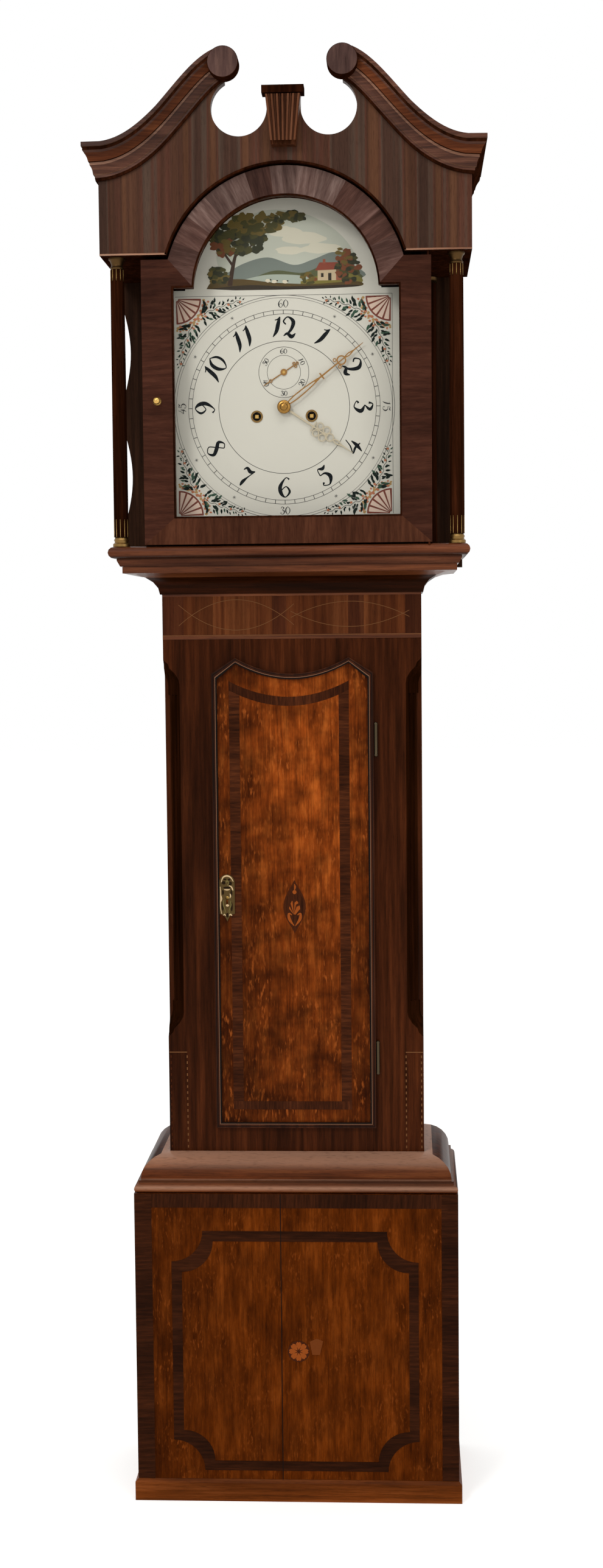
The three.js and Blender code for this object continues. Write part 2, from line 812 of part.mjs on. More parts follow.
function hoodSide() {
  const inner = hoodSideThickness - bodyHalf;
  const section = outline([
    [-bodyHalf, hoodFloor + gap],
    [inner, hoodFloor + gap],
    [inner, friezeBottom + soffitThickness],
    [hoodSideThickness - hoodHalf, friezeBottom + soffitThickness],
    [hoodSideThickness - hoodHalf, hoodSideTop],
    [-hoodHalf, hoodSideTop],
    [-hoodHalf, friezeBottom],
    [-bodyHalf, friezeBottom],
  ]);
  const wall = panel(section, hoodDoorBackY + runningGap, hoodBackY);
  const front = block(
    -hoodHalf,
    inner,
    hoodSideFrontY,
    hoodDoorBackY + runningGap + overrun,
    friezeBottom,
    friezeBottom + soffitThickness,
  );
  const cheek = block(
    -hoodHalf,
    hoodSideThickness - hoodHalf,
    hoodSideFrontY,
    hoodDoorBackY + runningGap + overrun,
    friezeBottom,
    hoodSideTop,
  );
  const columnTop = friezeBottom + soffitThickness / 2;
  const rearColumn = rod(rearColumnRadius, hoodFloor + gap, columnTop, 16).translate([
    -bodyHalf,
    hoodBackY - rearColumnRadius,
    0,
  ]);
  return join(wall, front, cheek, rearColumn);
}
add(hoodGroup, "hood_side_left", "mahogany", hoodSide());
add(hoodGroup, "hood_side_right", "mahogany", hoodSide().mirror([1, 0, 0]));

const roofHalf = hoodHalf - hoodSideThickness - gap;
add(
  hoodGroup,
  "hood_roof",
  "pine",
  block(-roofHalf, roofHalf, hoodSideFrontY, hoodBackY, roofHeight, roofHeight + roofThickness),
);

const neckRun = hoodHalf - roundelX;
const neckShares = [[0, 0], [0.46, 0.11], [0.62, 0.6], [0.92, 0.99]];

// The middle line of the right swan neck, from the hood's corner up to the roundel.
function neckCurve() {
  const points = neckShares.map(
    ([run, rise]) => new THREE.Vector2(hoodHalf - run * neckRun, pedimentMiddle + rise * neckRise),
  );
  return new THREE.CubicBezierCurve(...points);
}

// A length of the line the hood door turns on, near its right edge.
function hoodPivot(radius, z0, z1) {
  return rod(radius, z0, z1).translate([bodyHalf - hoodPivotInset, hoodDoorFrontY + hoodPivotSetback, 0]);
}

function tympanum() {
  const neck = neckCurve().getPoints(neckSteps);
  const top = Math.sqrt(cutOutRadius ** 2 - cutOutInset ** 2);
  const startAngle = Math.atan2(top, cutOutInset);
  const archHalf = Math.sqrt(tympanumArchRadius ** 2 - archDrop ** 2);
  const archAngle = Math.asin(archDrop / tympanumArchRadius);
  const shape = new THREE.Shape();
  shape.moveTo(archHalf, friezeBottom);
  shape.lineTo(hoodHalf, friezeBottom);
  for (const point of neck) shape.lineTo(point.x, point.y);
  shape.lineTo(roundelX, roundelHeight);
  shape.lineTo(roundelX, cutOutHeight + top);
  shape.absarc(cutOutX, cutOutHeight, cutOutRadius, startAngle, -Math.PI, true);
  shape.lineTo(cutOutX - cutOutRadius, keystoneCapBottom);
  shape.lineTo(cutOutRadius - cutOutX, keystoneCapBottom);
  shape.lineTo(cutOutRadius - cutOutX, cutOutHeight);
  shape.absarc(-cutOutX, cutOutHeight, cutOutRadius, 0, -Math.PI - startAngle, true);
  shape.lineTo(-roundelX, roundelHeight);
  for (const point of neck.toReversed()) shape.lineTo(-point.x, point.y);
  shape.lineTo(-hoodHalf, friezeBottom);
  shape.lineTo(-archHalf, friezeBottom);
  shape.absarc(0, archCentreHeight, tympanumArchRadius, Math.PI - archAngle, archAngle, true);
  const board = panel(shape, hoodFrontY, hoodFrontY + tympanumThickness, 20);
  return cut(board, hoodPivot(hoodPivotRadius + gap, hoodDoorTop, friezeBottom + hoodPivotReach + gap));
}
add(hoodGroup, "tympanum", "mahogany", tympanum());

const hoodTorusRadius = hoodTorusHeight / 2;
const hoodBaseProfile = [
  [hoodBaseGap, throatTop + gap],
  [throatProjection + throatFillet, throatTop + gap],
  [hoodFilletProjection - hoodTorusRadius / 2, hoodFloor - hoodTorusHeight - throatFillet],
  [hoodFilletProjection - hoodTorusRadius / 2, hoodFloor - hoodTorusHeight],
  ...nose(hoodTorusProjection - hoodTorusRadius, hoodFloor - hoodTorusHeight, hoodFloor),
  [hoodBaseGap, hoodFloor],
];
add(
  hoodGroup,
  "hood_base",
  "mahogany",
  cut(
    threeSided(hoodBaseProfile, trunkHalf, trunkFrontY, hoodBackY),
    hoodPivot(hoodPivotRadius + gap, hoodFloor - hoodPivotReach - gap, hoodDoorBottom),
  ),
);

// Swan necks: a moulding that returns along the hood's side and sweeps up to a turned roundel

// The moulding's section: shares of its projection, and of its height from -0.5 to 0.5.
const neckProfileShares = [
  [0, -0.5],
  [0.1, -0.5],
  [0.14, -0.36],
  [0.26, -0.22],
  [0.46, -0.12],
  [0.46, -0.06],
  [0.54, -0.06],
  [0.62, 0.08],
  [0.76, 0.2],
  [0.9, 0.28],
  [0.9, 0.38],
  [1, 0.38],
  [1, 0.5],
  [0, 0.5],
];
const neckTaperShare = 0.8; // the moulding's height near the roundel

function swanNeck() {
  const profile = neckProfileShares.map(([out, rise]) => [gap + out * pedimentProjection, rise]);
  const curve = neckCurve();
  const rings = [
    profile.map(([out, rise]) => [hoodHalf + out, hoodBackY, pedimentMiddle + rise * cornerHeight]),
    profile.map(([out, rise]) => [hoodHalf + out, hoodFrontY - out, pedimentMiddle + rise * cornerHeight]),
  ];
  for (let i = 1; i <= neckSteps; i++) {
    const t = i / neckSteps;
    const point = curve.getPoint(t);
    const tangent = curve.getTangent(t);
    const height = cornerHeight * (1 - (1 - neckTaperShare) * Math.min(1, 2 * t));
    rings.push(
      profile.map(([out, rise]) => [
        point.x + tangent.y * rise * height,
        hoodFrontY - out,
        point.y - tangent.x * rise * height,
      ]),
    );
  }
  const sweep = loft(rings.map((ring) => ring.map(([x, y, z]) => new THREE.Vector3(x, y, z))));
  return join(sweep, roundel());
}

// A turned disc with a sunk ring and a button in the middle: shares of its radius, out and then back.
const faceShares = [[0, 0], [0.17, 0], [0.33, 0.17], [0.5, 0.25], [0.83, 0.08], [0.93, 0.08], [1, 0.17]];

function roundel() {
  const front = hoodFrontY - gap - roundelFront;
  const back = hoodFrontY - gap;
  const face = faceShares.map(([out, sunk]) => [out * roundelRadius, front + sunk * roundelRadius]);
  const disc = turnedAlongY([...face, [roundelRadius, back], [0, back]], 20);
  return disc.translate([roundelX, 0, roundelHeight]);
}
add(hoodGroup, "swan_neck_right", "mahogany", swanNeck());
add(hoodGroup, "swan_neck_left", "mahogany", swanNeck().mirror([1, 0, 0]));

// A tapered block with hollow flutes and a plain cap.
function keystone() {
  const front = hoodFrontY - gap - keystoneDepth;
  const back = hoodFrontY - gap;
  const ring = (width, z) => {
    const points = [new THREE.Vector3(-width / 2, back, z)];
    const pitch = width / keystoneFluteCount;
    for (let i = 0; i < keystoneFluteCount; i++) {
      const x = -width / 2 + i * pitch;
      points.push(new THREE.Vector3(x, front, z));
      points.push(new THREE.Vector3(x + pitch / 4, front + keystoneFluteDepth, z));
      points.push(new THREE.Vector3(x + (3 * pitch) / 4, front + keystoneFluteDepth, z));
    }
    points.push(new THREE.Vector3(width / 2, front, z));
    points.push(new THREE.Vector3(width / 2, back, z));
    return points;
  };
  const body = loft([ring(keystoneBottomWidth, keystoneBottom), ring(keystoneTopWidth, keystoneCapBottom)]);
  const cap = block(
    -keystoneCapWidth / 2,
    keystoneCapWidth / 2,
    hoodFrontY - gap - keystoneCapDepth,
    back,
    keystoneCapBottom,
    keystoneCapBottom + keystoneCapHeight,
  );
  return join(body, cap);
}
add(hoodGroup, "keystone", "mahogany", keystone());

// Free columns at the hood's front corners, between a brass base and a brass capital

const columnX = hoodHalf - columnInset;
const columnY = hoodFrontY + columnInset;
const shaftBottom = hoodFloor + columnBaseHeight + 2 * gap;
const shaftTop = friezeBottom - capitalHeight - 2 * gap;

function columnShaft() {
  const swell = shaftBottom + (shaftTop - shaftBottom) / 3;
  return turned(
    [
      [0, shaftBottom],
      [columnRadius, shaftBottom],
      [columnRadius, swell],
      [columnNeckRadius, shaftTop],
      [0, shaftTop],
    ],
    16,
  );
}

// Turned ends of the columns: shares of the way out from the shaft to the foot, and of the height.
const footShares = [[1, 0], [1, 0.29], [0.29, 0.43], [0.29, 0.57], [0.57, 0.71], [0.29, 0.86], [0, 1]];
const capitalShares = [[0.19, 0], [0.47, 0.14], [0, 0.29], [0, 0.43], [0.44, 0.71], [1, 0.86], [1, 1]];

function columnEnd(shares, innerRadius, bottom, height) {
  const side = shares.map(([out, rise]) => [
    innerRadius + out * (columnFootRadius - innerRadius),
    bottom + rise * height,
  ]);
  return turned([[0, bottom], ...side, [0, bottom + height]], 14);
}

const columnFoot = columnEnd(footShares, columnRadius, hoodFloor + gap, columnBaseHeight);
const capitalBottom = friezeBottom - gap - capitalHeight;
const capital = columnEnd(capitalShares, columnNeckRadius, capitalBottom, capitalHeight);

for (const [side, sign] of [["left", -1], ["right", 1]]) {
  const place = [sign * columnX, columnY, 0];
  add(hoodGroup, `column_${side}`, "mahogany", columnShaft().translate(place));
  add(hoodGroup, `column_base_${side}`, "brass", columnFoot.translate(place));
  add(hoodGroup, `capital_${side}`, "brass", capital.translate(place));
}

// Hood door: an arched frame with its glass and knob

function archedOutline(half, bottom, shoulder, radius) {
  const angle = Math.asin((shoulder - archCentreHeight) / radius);
  const shape = new THREE.Shape();
  shape.moveTo(-half, bottom);
  shape.lineTo(half, bottom);
  shape.lineTo(half, shoulder);
  shape.absarc(0, archCentreHeight, radius, angle, Math.PI - angle, false);
  shape.lineTo(-half, shoulder);
  return shape;
}

function hoodDoor() {
  const frame = panel(
    archedOutline(bodyHalf, hoodDoorBottom, hoodDoorTop, hoodDoorArchRadius),
    hoodDoorFrontY,
    hoodDoorBackY,
    20,
  );
  const opening = panel(
    archedOutline(glassHalf, glassBottom, glassShoulder, glassRadius),
    hoodDoorFrontY - overrun,
    hoodDoorBackY + overrun,
    16,
  );
  const rebate = panel(
    archedOutline(
      glassHalf + glassRebate,
      glassBottom - glassRebate,
      glassShoulder + glassRebate,
      glassRadius + glassRebate,
    ),
    hoodDoorBackY - glassRebateDepth,
    hoodDoorBackY + overrun,
    16,
  );
  return join(
    cut(frame, opening, rebate),
    hoodPivot(hoodPivotRadius, hoodFloor - hoodPivotReach, hoodDoorBottom + overrun),
    hoodPivot(hoodPivotRadius, hoodDoorTop - overrun, friezeBottom + hoodPivotReach),
  );
}
add(hoodGroup, "hood_door", "mahogany", hoodDoor());

const paneInset = glassRebate - gap;
add(
  hoodGroup,
  "hood_glass",
  "glass",
  panel(
    archedOutline(
      glassHalf + paneInset,
      glassBottom - paneInset,
      glassShoulder + paneInset,
      glassRadius + paneInset,
    ),
    hoodDoorBackY - glassRebateDepth + gap,
    hoodDoorBackY - glassRebateDepth + gap + glassThickness,
    16,
  ),
);

const knobNeck = knobRadius / 2;
add(
  hoodGroup,
  "hood_knob",
  "brass",
  turnedAlongY(
    [
      [0, -gap - knobLength],
      [knobNeck, -gap - knobLength],
      [knobRadius, -gap - knobLength + knobNeck],
      [knobRadius, -gap - knobLength + knobRadius],
      [knobNeck, -gap - knobNeck],
      [knobRadius, -gap - knobNeck / 2],
      [knobRadius, -gap],
      [0, -gap],
    ],
    12,
  ).translate([knobInset - bodyHalf, hoodDoorFrontY, dialHeight + knobRise]),
);

// Trunk door: a lipped door with a double-peaked top, its escutcheon and lock bolt

function doorOutline(inset) {
  const half = doorHalf - inset;
  const peakX = doorHalf - doorPeakInset;
  const peak = doorShoulder + doorPeakRise - inset;
  const dip = doorShoulder + doorDipRise - inset;
  const shape = new THREE.Shape();
  shape.moveTo(-half, doorBottom + inset);
  shape.lineTo(half, doorBottom + inset);
  shape.lineTo(half, doorShoulder - inset);
  shape.lineTo(peakX, peak);
  shape.quadraticCurveTo(0, 2 * dip - peak, -peakX, peak);
  shape.lineTo(-half, doorShoulder - inset);
  return shape;
}

function trunkDoor() {
  const lip = panel(doorOutline(0), trunkFrontY - gap - doorLip, trunkFrontY - gap, 16);
  const field = panel(
    doorOutline(doorBeadWidth),
    trunkFrontY - gap - doorLip - overrun,
    trunkFrontY - gap - doorLip + doorBeadRise,
    16,
  );
  const tenon = block(
    runningGap - openingHalf,
    openingHalf - runningGap,
    trunkFrontY - doorLip / 2,
    trunkFrontY + doorTenonThickness,
    bottomRailTop + runningGap,
    topRailBottom - runningGap,
  );
  const keyhole = rodAlongY(
    keyholeRadius,
    trunkFrontY - doorLip - overrun,
    trunkFrontY + doorTenonThickness / 3,
    12,
  ).translate([escutcheonInset - doorHalf, 0, escutcheonMiddle]);
  const pocket = boltPocket(-openingHalf - overrun, boltLength + runningGap - openingHalf + runningGap);
  return cut(join(lip, tenon), field, keyhole, pocket);
}
add(caseGroup, "trunk_door", "oak", trunkDoor());

const escutcheonBackY = trunkFrontY - gap - doorLip + doorBeadRise - gap;

function escutcheon() {
  const half = escutcheonWidth / 2;
  const rise = escutcheonHeight / 2;
  const shape = new THREE.Shape();
  shape.moveTo(0, -rise);
  shape.quadraticCurveTo(half / 3, half - rise, half, half - rise);
  shape.lineTo(half, rise - half);
  shape.absarc(0, rise - half, half, 0, Math.PI, false);
  shape.lineTo(-half, half - rise);
  shape.quadraticCurveTo(-half / 3, half - rise, 0, -rise);
  const hole = new THREE.Path();
  const reach = Math.sqrt(keyholeRadius ** 2 - (keySlotWidth / 2) ** 2);
  const angle = Math.asin(keySlotWidth / 2 / keyholeRadius);
  hole.moveTo(-keySlotWidth / 2, -reach);
  hole.lineTo(-keySlotWidth / 2, -reach - keySlotLength);
  hole.lineTo(keySlotWidth / 2, -reach - keySlotLength);
  hole.absarc(0, 0, keyholeRadius, angle - Math.PI / 2, (3 * Math.PI) / 2 - angle, false);
  shape.holes.push(hole);
  return panel(shape, escutcheonBackY - escutcheonThickness, escutcheonBackY, 6).translate([
    escutcheonInset - doorHalf,
    0,
    escutcheonMiddle,
  ]);
}
add(caseGroup, "trunk_escutcheon", "brass", escutcheon());
add(
  caseGroup,
  "trunk_lock_bolt",
  "steel",
  block(
    runningGap + gap - openingHalf,
    runningGap + gap + boltLength - openingHalf,
    boltY - boltWidth / 2,
    boltY + boltWidth / 2,
    escutcheonMiddle - boltHeight / 2,
    escutcheonMiddle + boltHeight / 2,
  ),
);

// Movement: plates, dial and bell. From here x and z are measured from the centre arbor.

const arbors = {
  centre: [0, 0],
  third: [thirdX, thirdRise],
  escape: [0, secondsRise],
  anchor: [0, suspensionRise],
  time: [-windingSpread, -windingDrop],
  strike: [windingSpread, -windingDrop],
  hammer: [hammerSide, hammerRise],
};

const holeSides = 8;

// Round holes whose flats, not their corners, clear the pivots.
function pivotHoles(names, radius, y0, y1) {
  return names.map((name) => {
    const [x, z] = arbors[name];
    return rodAlongY(radius / Math.cos(Math.PI / holeSides), y0, y1, holeSides).translate([x, 0, z]);
  });
}

const plateHalf = plateWidth / 2;
const pillars = [-1, 1].flatMap((side) =>
  [pillarInset - plateBottom, plateTop - pillarInset].map((z) => [side * (plateHalf - pillarInset), z]),
);

function frontPlate() {
  const plate = block(-plateHalf, plateHalf, plateFrontY, trainFrontY, -plateBottom, plateTop);
  const through = [plateFrontY - overrun, trainFrontY + overrun];
  return cut(
    plate,
    ...pivotHoles(["third", "anchor", "hammer"], pivotRadius + pivotClearance, ...through),
    ...pivotHoles(["centre", "escape"], arborRadius + pivotClearance, ...through),
    ...pivotHoles(["time", "strike"], windingArbor + pivotClearance, ...through),
    ...pillars.map(([x, z]) => rodAlongY(pillarPin + gap, ...through, 8).translate([x, 0, z])),
  );
}
add(movement, "movement_front_plate", "brass", frontPlate());

function backPlate() {
  const plate = block(-plateHalf, plateHalf, trainBackY, plateBackY, -plateBottom, plateTop);
  const through = [trainBackY - overrun, plateBackY + overrun];
  const posts = pillars.map(([x, z]) =>
    join(
      rodAlongY(pillarRadius, trainFrontY + gap, trainBackY + plateThickness / 2, 8),
      rodAlongY(pillarPin, plateFrontY, trainFrontY + overrun, 8),
    ).translate([x, 0, z]),
  );
  return join(
    cut(
      plate,
      ...pivotHoles(["centre", "third", "escape", "hammer"], pivotRadius + pivotClearance, ...through),
      ...pivotHoles(["anchor"], arborRadius + pivotClearance, ...through),
      ...pivotHoles(["time", "strike"], windingArbor + pivotClearance, ...through),
    ),
    ...posts,
  );
}
add(movement, "movement_back_plate", "brass", backPlate());

// The cock stands on the back plate and holds the pendulum's suspension over the anchor's arbor.
const cockBottom = suspensionRise + cockRise;
const cockTop = cockBottom + cockHeight;

function backCock() {
  const foot = block(-cockFoot, cockFoot, plateBackY + gap, plateBackY + cockThickness, cockBottom, cockTop);
  const arm = block(-cockArm, cockArm, plateBackY + gap, pendulumY + cockArm, cockBottom, cockTop);
  const slot = block(
    -springThickness - springSway,
    springThickness + springSway,
    pendulumY - springWidth / 2 - gap,
    pendulumY + cockArm + overrun,
    cockBottom - overrun,
    cockTop + overrun,
  );
  return cut(join(foot, arm), slot);
}
add(movement, "back_cock", "brass", backCock());

function dial() {
  const half = dialHalf;
  const angle = Math.asin((half - dialDrop) / dialArchRadius);
  const shape = new THREE.Shape();
  shape.moveTo(-half, -half);
  shape.lineTo(half, -half);
  shape.lineTo(half, half);
  shape.absarc(0, dialDrop, dialArchRadius, angle, Math.PI - angle, false);
  shape.lineTo(-half, half);
  const plate = panel(shape, dialFrontY, dialBackY, 16);
  const hole = (radius, x, z) =>
    rodAlongY(radius, dialFrontY - overrun, dialBackY + overrun, 12).translate([x, 0, z]);
  const feet = [-1, 1].flatMap((side) =>
    [plateTop - dialFootInset, dialFootInset - plateBottom].map((z) =>
      rodAlongY(dialFootRadius, dialBackY - dialThickness / 2, plateFrontY - gap, 8).translate([
        side * dialFootInset,
        0,
        z,
      ]),
    ),
  );
  return cut(
    join(plate, ...feet),
    hole(handHoleRadius, 0, 0),
    hole(secondsHoleRadius, 0, secondsRise),
    hole(windingHoleRadius, -windingSpread, -windingDrop),
    hole(windingHoleRadius, windingSpread, -windingDrop),
  );
}
add(movement, "dial", "paintedIron", dial());

// A bell over the plates, on a bracket from the back plate.
const trainMiddleY = (trainFrontY + trainBackY) / 2;

function bell() {
  const crown = bellRise + bellHeight;
  const dome = (inset) => {
    const radii = [bellRadius - bellThickness / 2 - inset, bellHeight - bellLip - inset];
    const points = quarter([0, bellRise + bellLip], radii, 0, domeSteps);
    return points.map(([radius, z], i) => [i === domeSteps ? 0 : radius, z]);
  };
  const shell = turned(
    [
      ...dome(0).toReversed(),
      [bellRadius, bellRise],
      [bellRadius - bellThickness, bellRise],
      ...dome(bellThickness),
    ],
    16,
  ).translate([0, trainMiddleY, 0]);
  const post = rod(bellPostRadius, crown - bellThickness / 2, crown + bellClearance + gap, 8).translate([
    0,
    trainMiddleY,
    0,
  ]);
  const armTop = crown + bellClearance + bellStrap;
  const armBottom = crown + bellClearance;
  const strapBackY = plateBackY + bellStrap;
  const arm = block(-bellStrap, bellStrap, trainMiddleY - bellStrap, strapBackY, armBottom, armTop);
  const across = block(-bellBracket, bellStrap, plateBackY + gap, strapBackY, armBottom, armTop);
  const strap = block(
    -bellBracket - bellStrap,
    -bellBracket + bellStrap,
    plateBackY + gap,
    strapBackY,
    suspensionRise - bellBracket,
    armTop,
  );
  return join(shell, post, arm, across, strap);
}
add(movement, "bell", "brass", bell());

// Wheels

const toothRiseShare = 0.75; // of the module
const toothFallShare = 1.25;
const hubShare = 0.3; // of the pitch radius
const rimShare = 4; // of the module
const armAngle = 0.26; // radians that a wheel's arm takes up

const polar = (radius, angle) => [radius * Math.cos(angle), radius * Math.sin(angle)];

// A toothed outline: pointed teeth that reach past the pitch circle, and gaps that reach inside it.
function toothed(teeth, pitchRadius, phase, rise, fall) {
  const pitch = (2 * Math.PI) / teeth;
  const points = [];
  for (let i = 0; i < teeth; i++) {
    const middle = phase + i * pitch;
    points.push(polar(pitchRadius - fall, middle - pitch / 2));
    points.push(polar(pitchRadius + rise, middle));
  }
  return outline(points);
}

// Crossings: the openings between a wheel's arms.
function crossings(shape, inner, outer, arms) {
  for (let i = 0; i < arms; i++) {
    const start = (2 * Math.PI * i) / arms + armAngle / 2;
    const end = (2 * Math.PI * (i + 1)) / arms - armAngle / 2;
    const middle = (start + end) / 2;
    const hole = new THREE.Path();
    hole.absarc(0, 0, outer, start, end, false);
    hole.lineTo(...polar(inner, middle + armAngle));
    hole.lineTo(...polar(inner, middle - armAngle));
    shape.holes.push(hole);
  }
  return shape;
}

// A wheel or pinion in the plane of the dial, teeth given thickness from y0 to y1.
function wheel(teeth, pitchRadius, phase, y0, y1, arms) {
  const module = (2 * pitchRadius) / teeth;
  const shape = toothed(teeth, pitchRadius, phase, toothRiseShare * module, toothFallShare * module);
  if (arms) crossings(shape, pitchRadius * hubShare, pitchRadius - rimShare * module, arms);
  return panel(shape, y0, y1, 4);
}

// Pitch radii from the distances between arbors
const greatPitch = (greatDistance * greatTeeth) / (greatTeeth + centrePinionLeaves);
const centrePinionPitch = greatDistance - greatPitch;
const centrePitch = (centreToThird * centreTeeth) / (centreTeeth + thirdPinionLeaves);
const thirdPinionPitch = centreToThird - centrePitch;
const thirdPitch = (thirdToEscape * thirdTeeth) / (thirdTeeth + escapePinionLeaves);
const escapePinionPitch = thirdToEscape - thirdPitch;
const strikePitch = (greatPitch * strikeTeeth) / greatTeeth;

// The direction from one arbor to another, anticlockwise from +X in a front view.
function bearing(from, to) {
  return Math.atan2(arbors[to][1] - arbors[from][1], arbors[to][0] - arbors[from][0]);
}

// Each driven wheel has a gap where its neighbour has a tooth.
const halfTooth = (teeth) => Math.PI / teeth;

const trainPlaces = {
  barrel: trainFrontY + barrelRoom,
  great: trainFrontY + barrelRoom + barrelLength + ratchetThickness + 2 * gap,
};
const greatBackY = trainPlaces.great + wheelThickness;
const centreWheelY = greatBackY + wheelRoom;
const thirdWheelY = trainFrontY + barrelRoom;
const escapeWheelY = thirdWheelY + pinionLength + wheelRoom;

function arbor(y0, y1) {
  return join(
    rodAlongY(arborRadius, y0, y1, 10),
    rodAlongY(pivotRadius, y0 - plateThickness, y1 + plateThickness, 10),
  );
}

function greatWheel() {
  const disc = wheel(greatTeeth, greatPitch, bearing("time", "centre"), trainPlaces.great, greatBackY, 0);
  const bore = rodAlongY(windingArbor + 2 * gap, trainPlaces.great - overrun, greatBackY + overrun, 10);
  return cut(disc, bore);
}
add(movement, "time_great_wheel", "brass", greatWheel(), ...arbors.time);

function centreWheel() {
  const shape = wheel(
    centreTeeth,
    centrePitch,
    bearing("centre", "third"),
    centreWheelY,
    centreWheelY + wheelThickness,
    4,
  );
  const pinion = wheel(
    centrePinionLeaves,
    centrePinionPitch,
    bearing("centre", "time") + halfTooth(centrePinionLeaves),
    trainPlaces.great - pinionLength / 3,
    greatBackY + pinionLength / 3,
    0,
  );
  return join(
    shape,
    pinion,
    rodAlongY(arborRadius, minuteHandY - handThickness, trainBackY - gap, 12),
    rodAlongY(pivotRadius, trainBackY - overrun, plateBackY, 10),
  );
}

function thirdWheel() {
  return join(
    wheel(thirdTeeth, thirdPitch, bearing("third", "escape"), thirdWheelY, thirdWheelY + wheelThickness, 4),
    wheel(
      thirdPinionLeaves,
      thirdPinionPitch,
      bearing("third", "centre") + halfTooth(thirdPinionLeaves),
      centreWheelY - pinionLength / 3,
      centreWheelY + wheelThickness + pinionLength / 3,
      0,
    ),
    arbor(trainFrontY + gap, trainBackY - gap),
  );
}

const escapeLeanShare = 0.35; // of the pitch, from a tooth's root to its tip

// Saw teeth that point the way the wheel turns.
function escapeWheel() {
  const pitch = (2 * Math.PI) / escapeTeeth;
  const points = [];
  for (let i = 0; i < escapeTeeth; i++) {
    const root = -i * pitch;
    const tip = root - escapeLeanShare * pitch;
    points.push(polar(escapeRadius - escapeToothHeight, root));
    points.push(polar(escapeRadius, tip));
    points.push(polar(escapeRadius - escapeToothHeight, tip));
  }
  const shape = outline(points);
  crossings(shape, escapeRadius * hubShare, escapeRadius - 2 * escapeToothHeight + pivotRadius, 4);
  return join(
    panel(shape, escapeWheelY, escapeWheelY + wheelThickness / 2, 5),
    wheel(
      escapePinionLeaves,
      escapePinionPitch,
      bearing("escape", "third") + halfTooth(escapePinionLeaves),
      thirdWheelY - pinionLength / 3,
      thirdWheelY + wheelThickness + pinionLength / 3,
      0,
    ),
    rodAlongY(arborRadius, secondsHandY, trainBackY - gap, 10),
    rodAlongY(pivotRadius, trainBackY - overrun, plateBackY, 10),
  );
}

add(movement, "centre_wheel", "brass", centreWheel(), ...arbors.centre);
add(movement, "third_wheel", "brass", thirdWheel(), ...arbors.third);
add(movement, "escape_wheel", "brass", escapeWheel(), ...arbors.escape);

// Barrels: a drum between caps on a winding arbor, squared at the front for the key

function barrel(withWheel) {
  const front = trainPlaces.barrel;
  const back = front + barrelLength;
  const drum = turnedAlongY(
    [
      [0, front],
      [barrelCap, front],
      [barrelCap, front + barrelCapThickness],
      [barrelRadius, front + barrelCapThickness],
      [barrelRadius, back - barrelCapThickness],
      [barrelCap, back - barrelCapThickness],
      [barrelCap, back],
      [ratchetRadius, back],
      [ratchetRadius, back + ratchetThickness],
      [windingArbor, back + ratchetThickness],
      [windingArbor, plateBackY],
      [0, plateBackY],
    ],
    12,
  );
  const half = windingSquare / 2;
  const pieces = [
    drum,
    rodAlongY(windingArbor, plateFrontY - wheelThickness, front + barrelCapThickness, 12),
    block(-half, half, dialFrontY + dialThickness / 2, plateFrontY, -half, half),
  ];
  if (withWheel) {
    pieces.push(wheel(strikeTeeth, strikePitch, 0, trainPlaces.great, greatBackY, 0));
  }
  return join(...pieces);
}
add(movement, "time_barrel", "brass", barrel(false), ...arbors.time);
add(movement, "strike_barrel", "brass", barrel(true), ...arbors.strike);

// Hands

function disc(radius, x, z, y0, y1, segments = 14) {
  return rodAlongY(radius, y0, y1, segments).translate([x, 0, z]);
}

// A straight piece of a hand, from one height to another, each with its own width.
function taper(z0, width0, z1, width1, y0, y1) {
  return panel(
    outline([
      [-width0 / 2, z0],
      [width0 / 2, z0],
      [width1 / 2, z1],
      [-width1 / 2, z1],
    ]),
    y0,
    y1,
  );
}

// Shares of the minute hand's length: [height, half width] of its stem, then its cross bar and ring.
const minuteStemShares = [[0, 0.04], [0.2, 0.03], [0.34, 0.05], [0.46, 0.014], [0.98, 0.01], [1, 0.004]];
const minuteBarShare = 0.48;
const minuteRingShare = 0.72;
const minuteRingRadiusShare = 0.052;

function stem(shares, length, y0, y1) {
  const right = shares.map(([rise, half]) => [half * length, rise * length]);
  const left = right.map(([x, z]) => [-x, z]).reverse();
  return panel(outline([...right, ...left]), y0, y1);
}

function minuteHand() {
  const y0 = minuteHandY;
  const y1 = minuteHandY + handThickness;
  const length = minuteHandLength;
  const bar = minuteBarShare * length;
  const ring = minuteRingShare * length;
  const radius = minuteRingRadiusShare * length;
  const solid = join(
    stem(minuteStemShares, length, y0, y1),
    disc(handBossRadius, 0, 0, y0, y1),
    block(-radius, radius, y0, y1, bar - handThickness, bar + handThickness),
    disc(radius, 0, ring, y0, y1),
  );
  return cut(
    solid,
    disc(arborRadius + gap, 0, 0, y0 - overrun, y1 + overrun, 10),
    disc(radius / 2, 0, ring, y0 - overrun, y1 + overrun, 10),
  );
}

// Shares of the hour hand's length.
const hourStemShares = [[0, 0.05], [0.34, 0.022], [0.66, 0.02], [0.76, 0.045], [1, 0.004]];
const hourLobeShares = [[0.42, 0.1], [0.58, 0.08]];

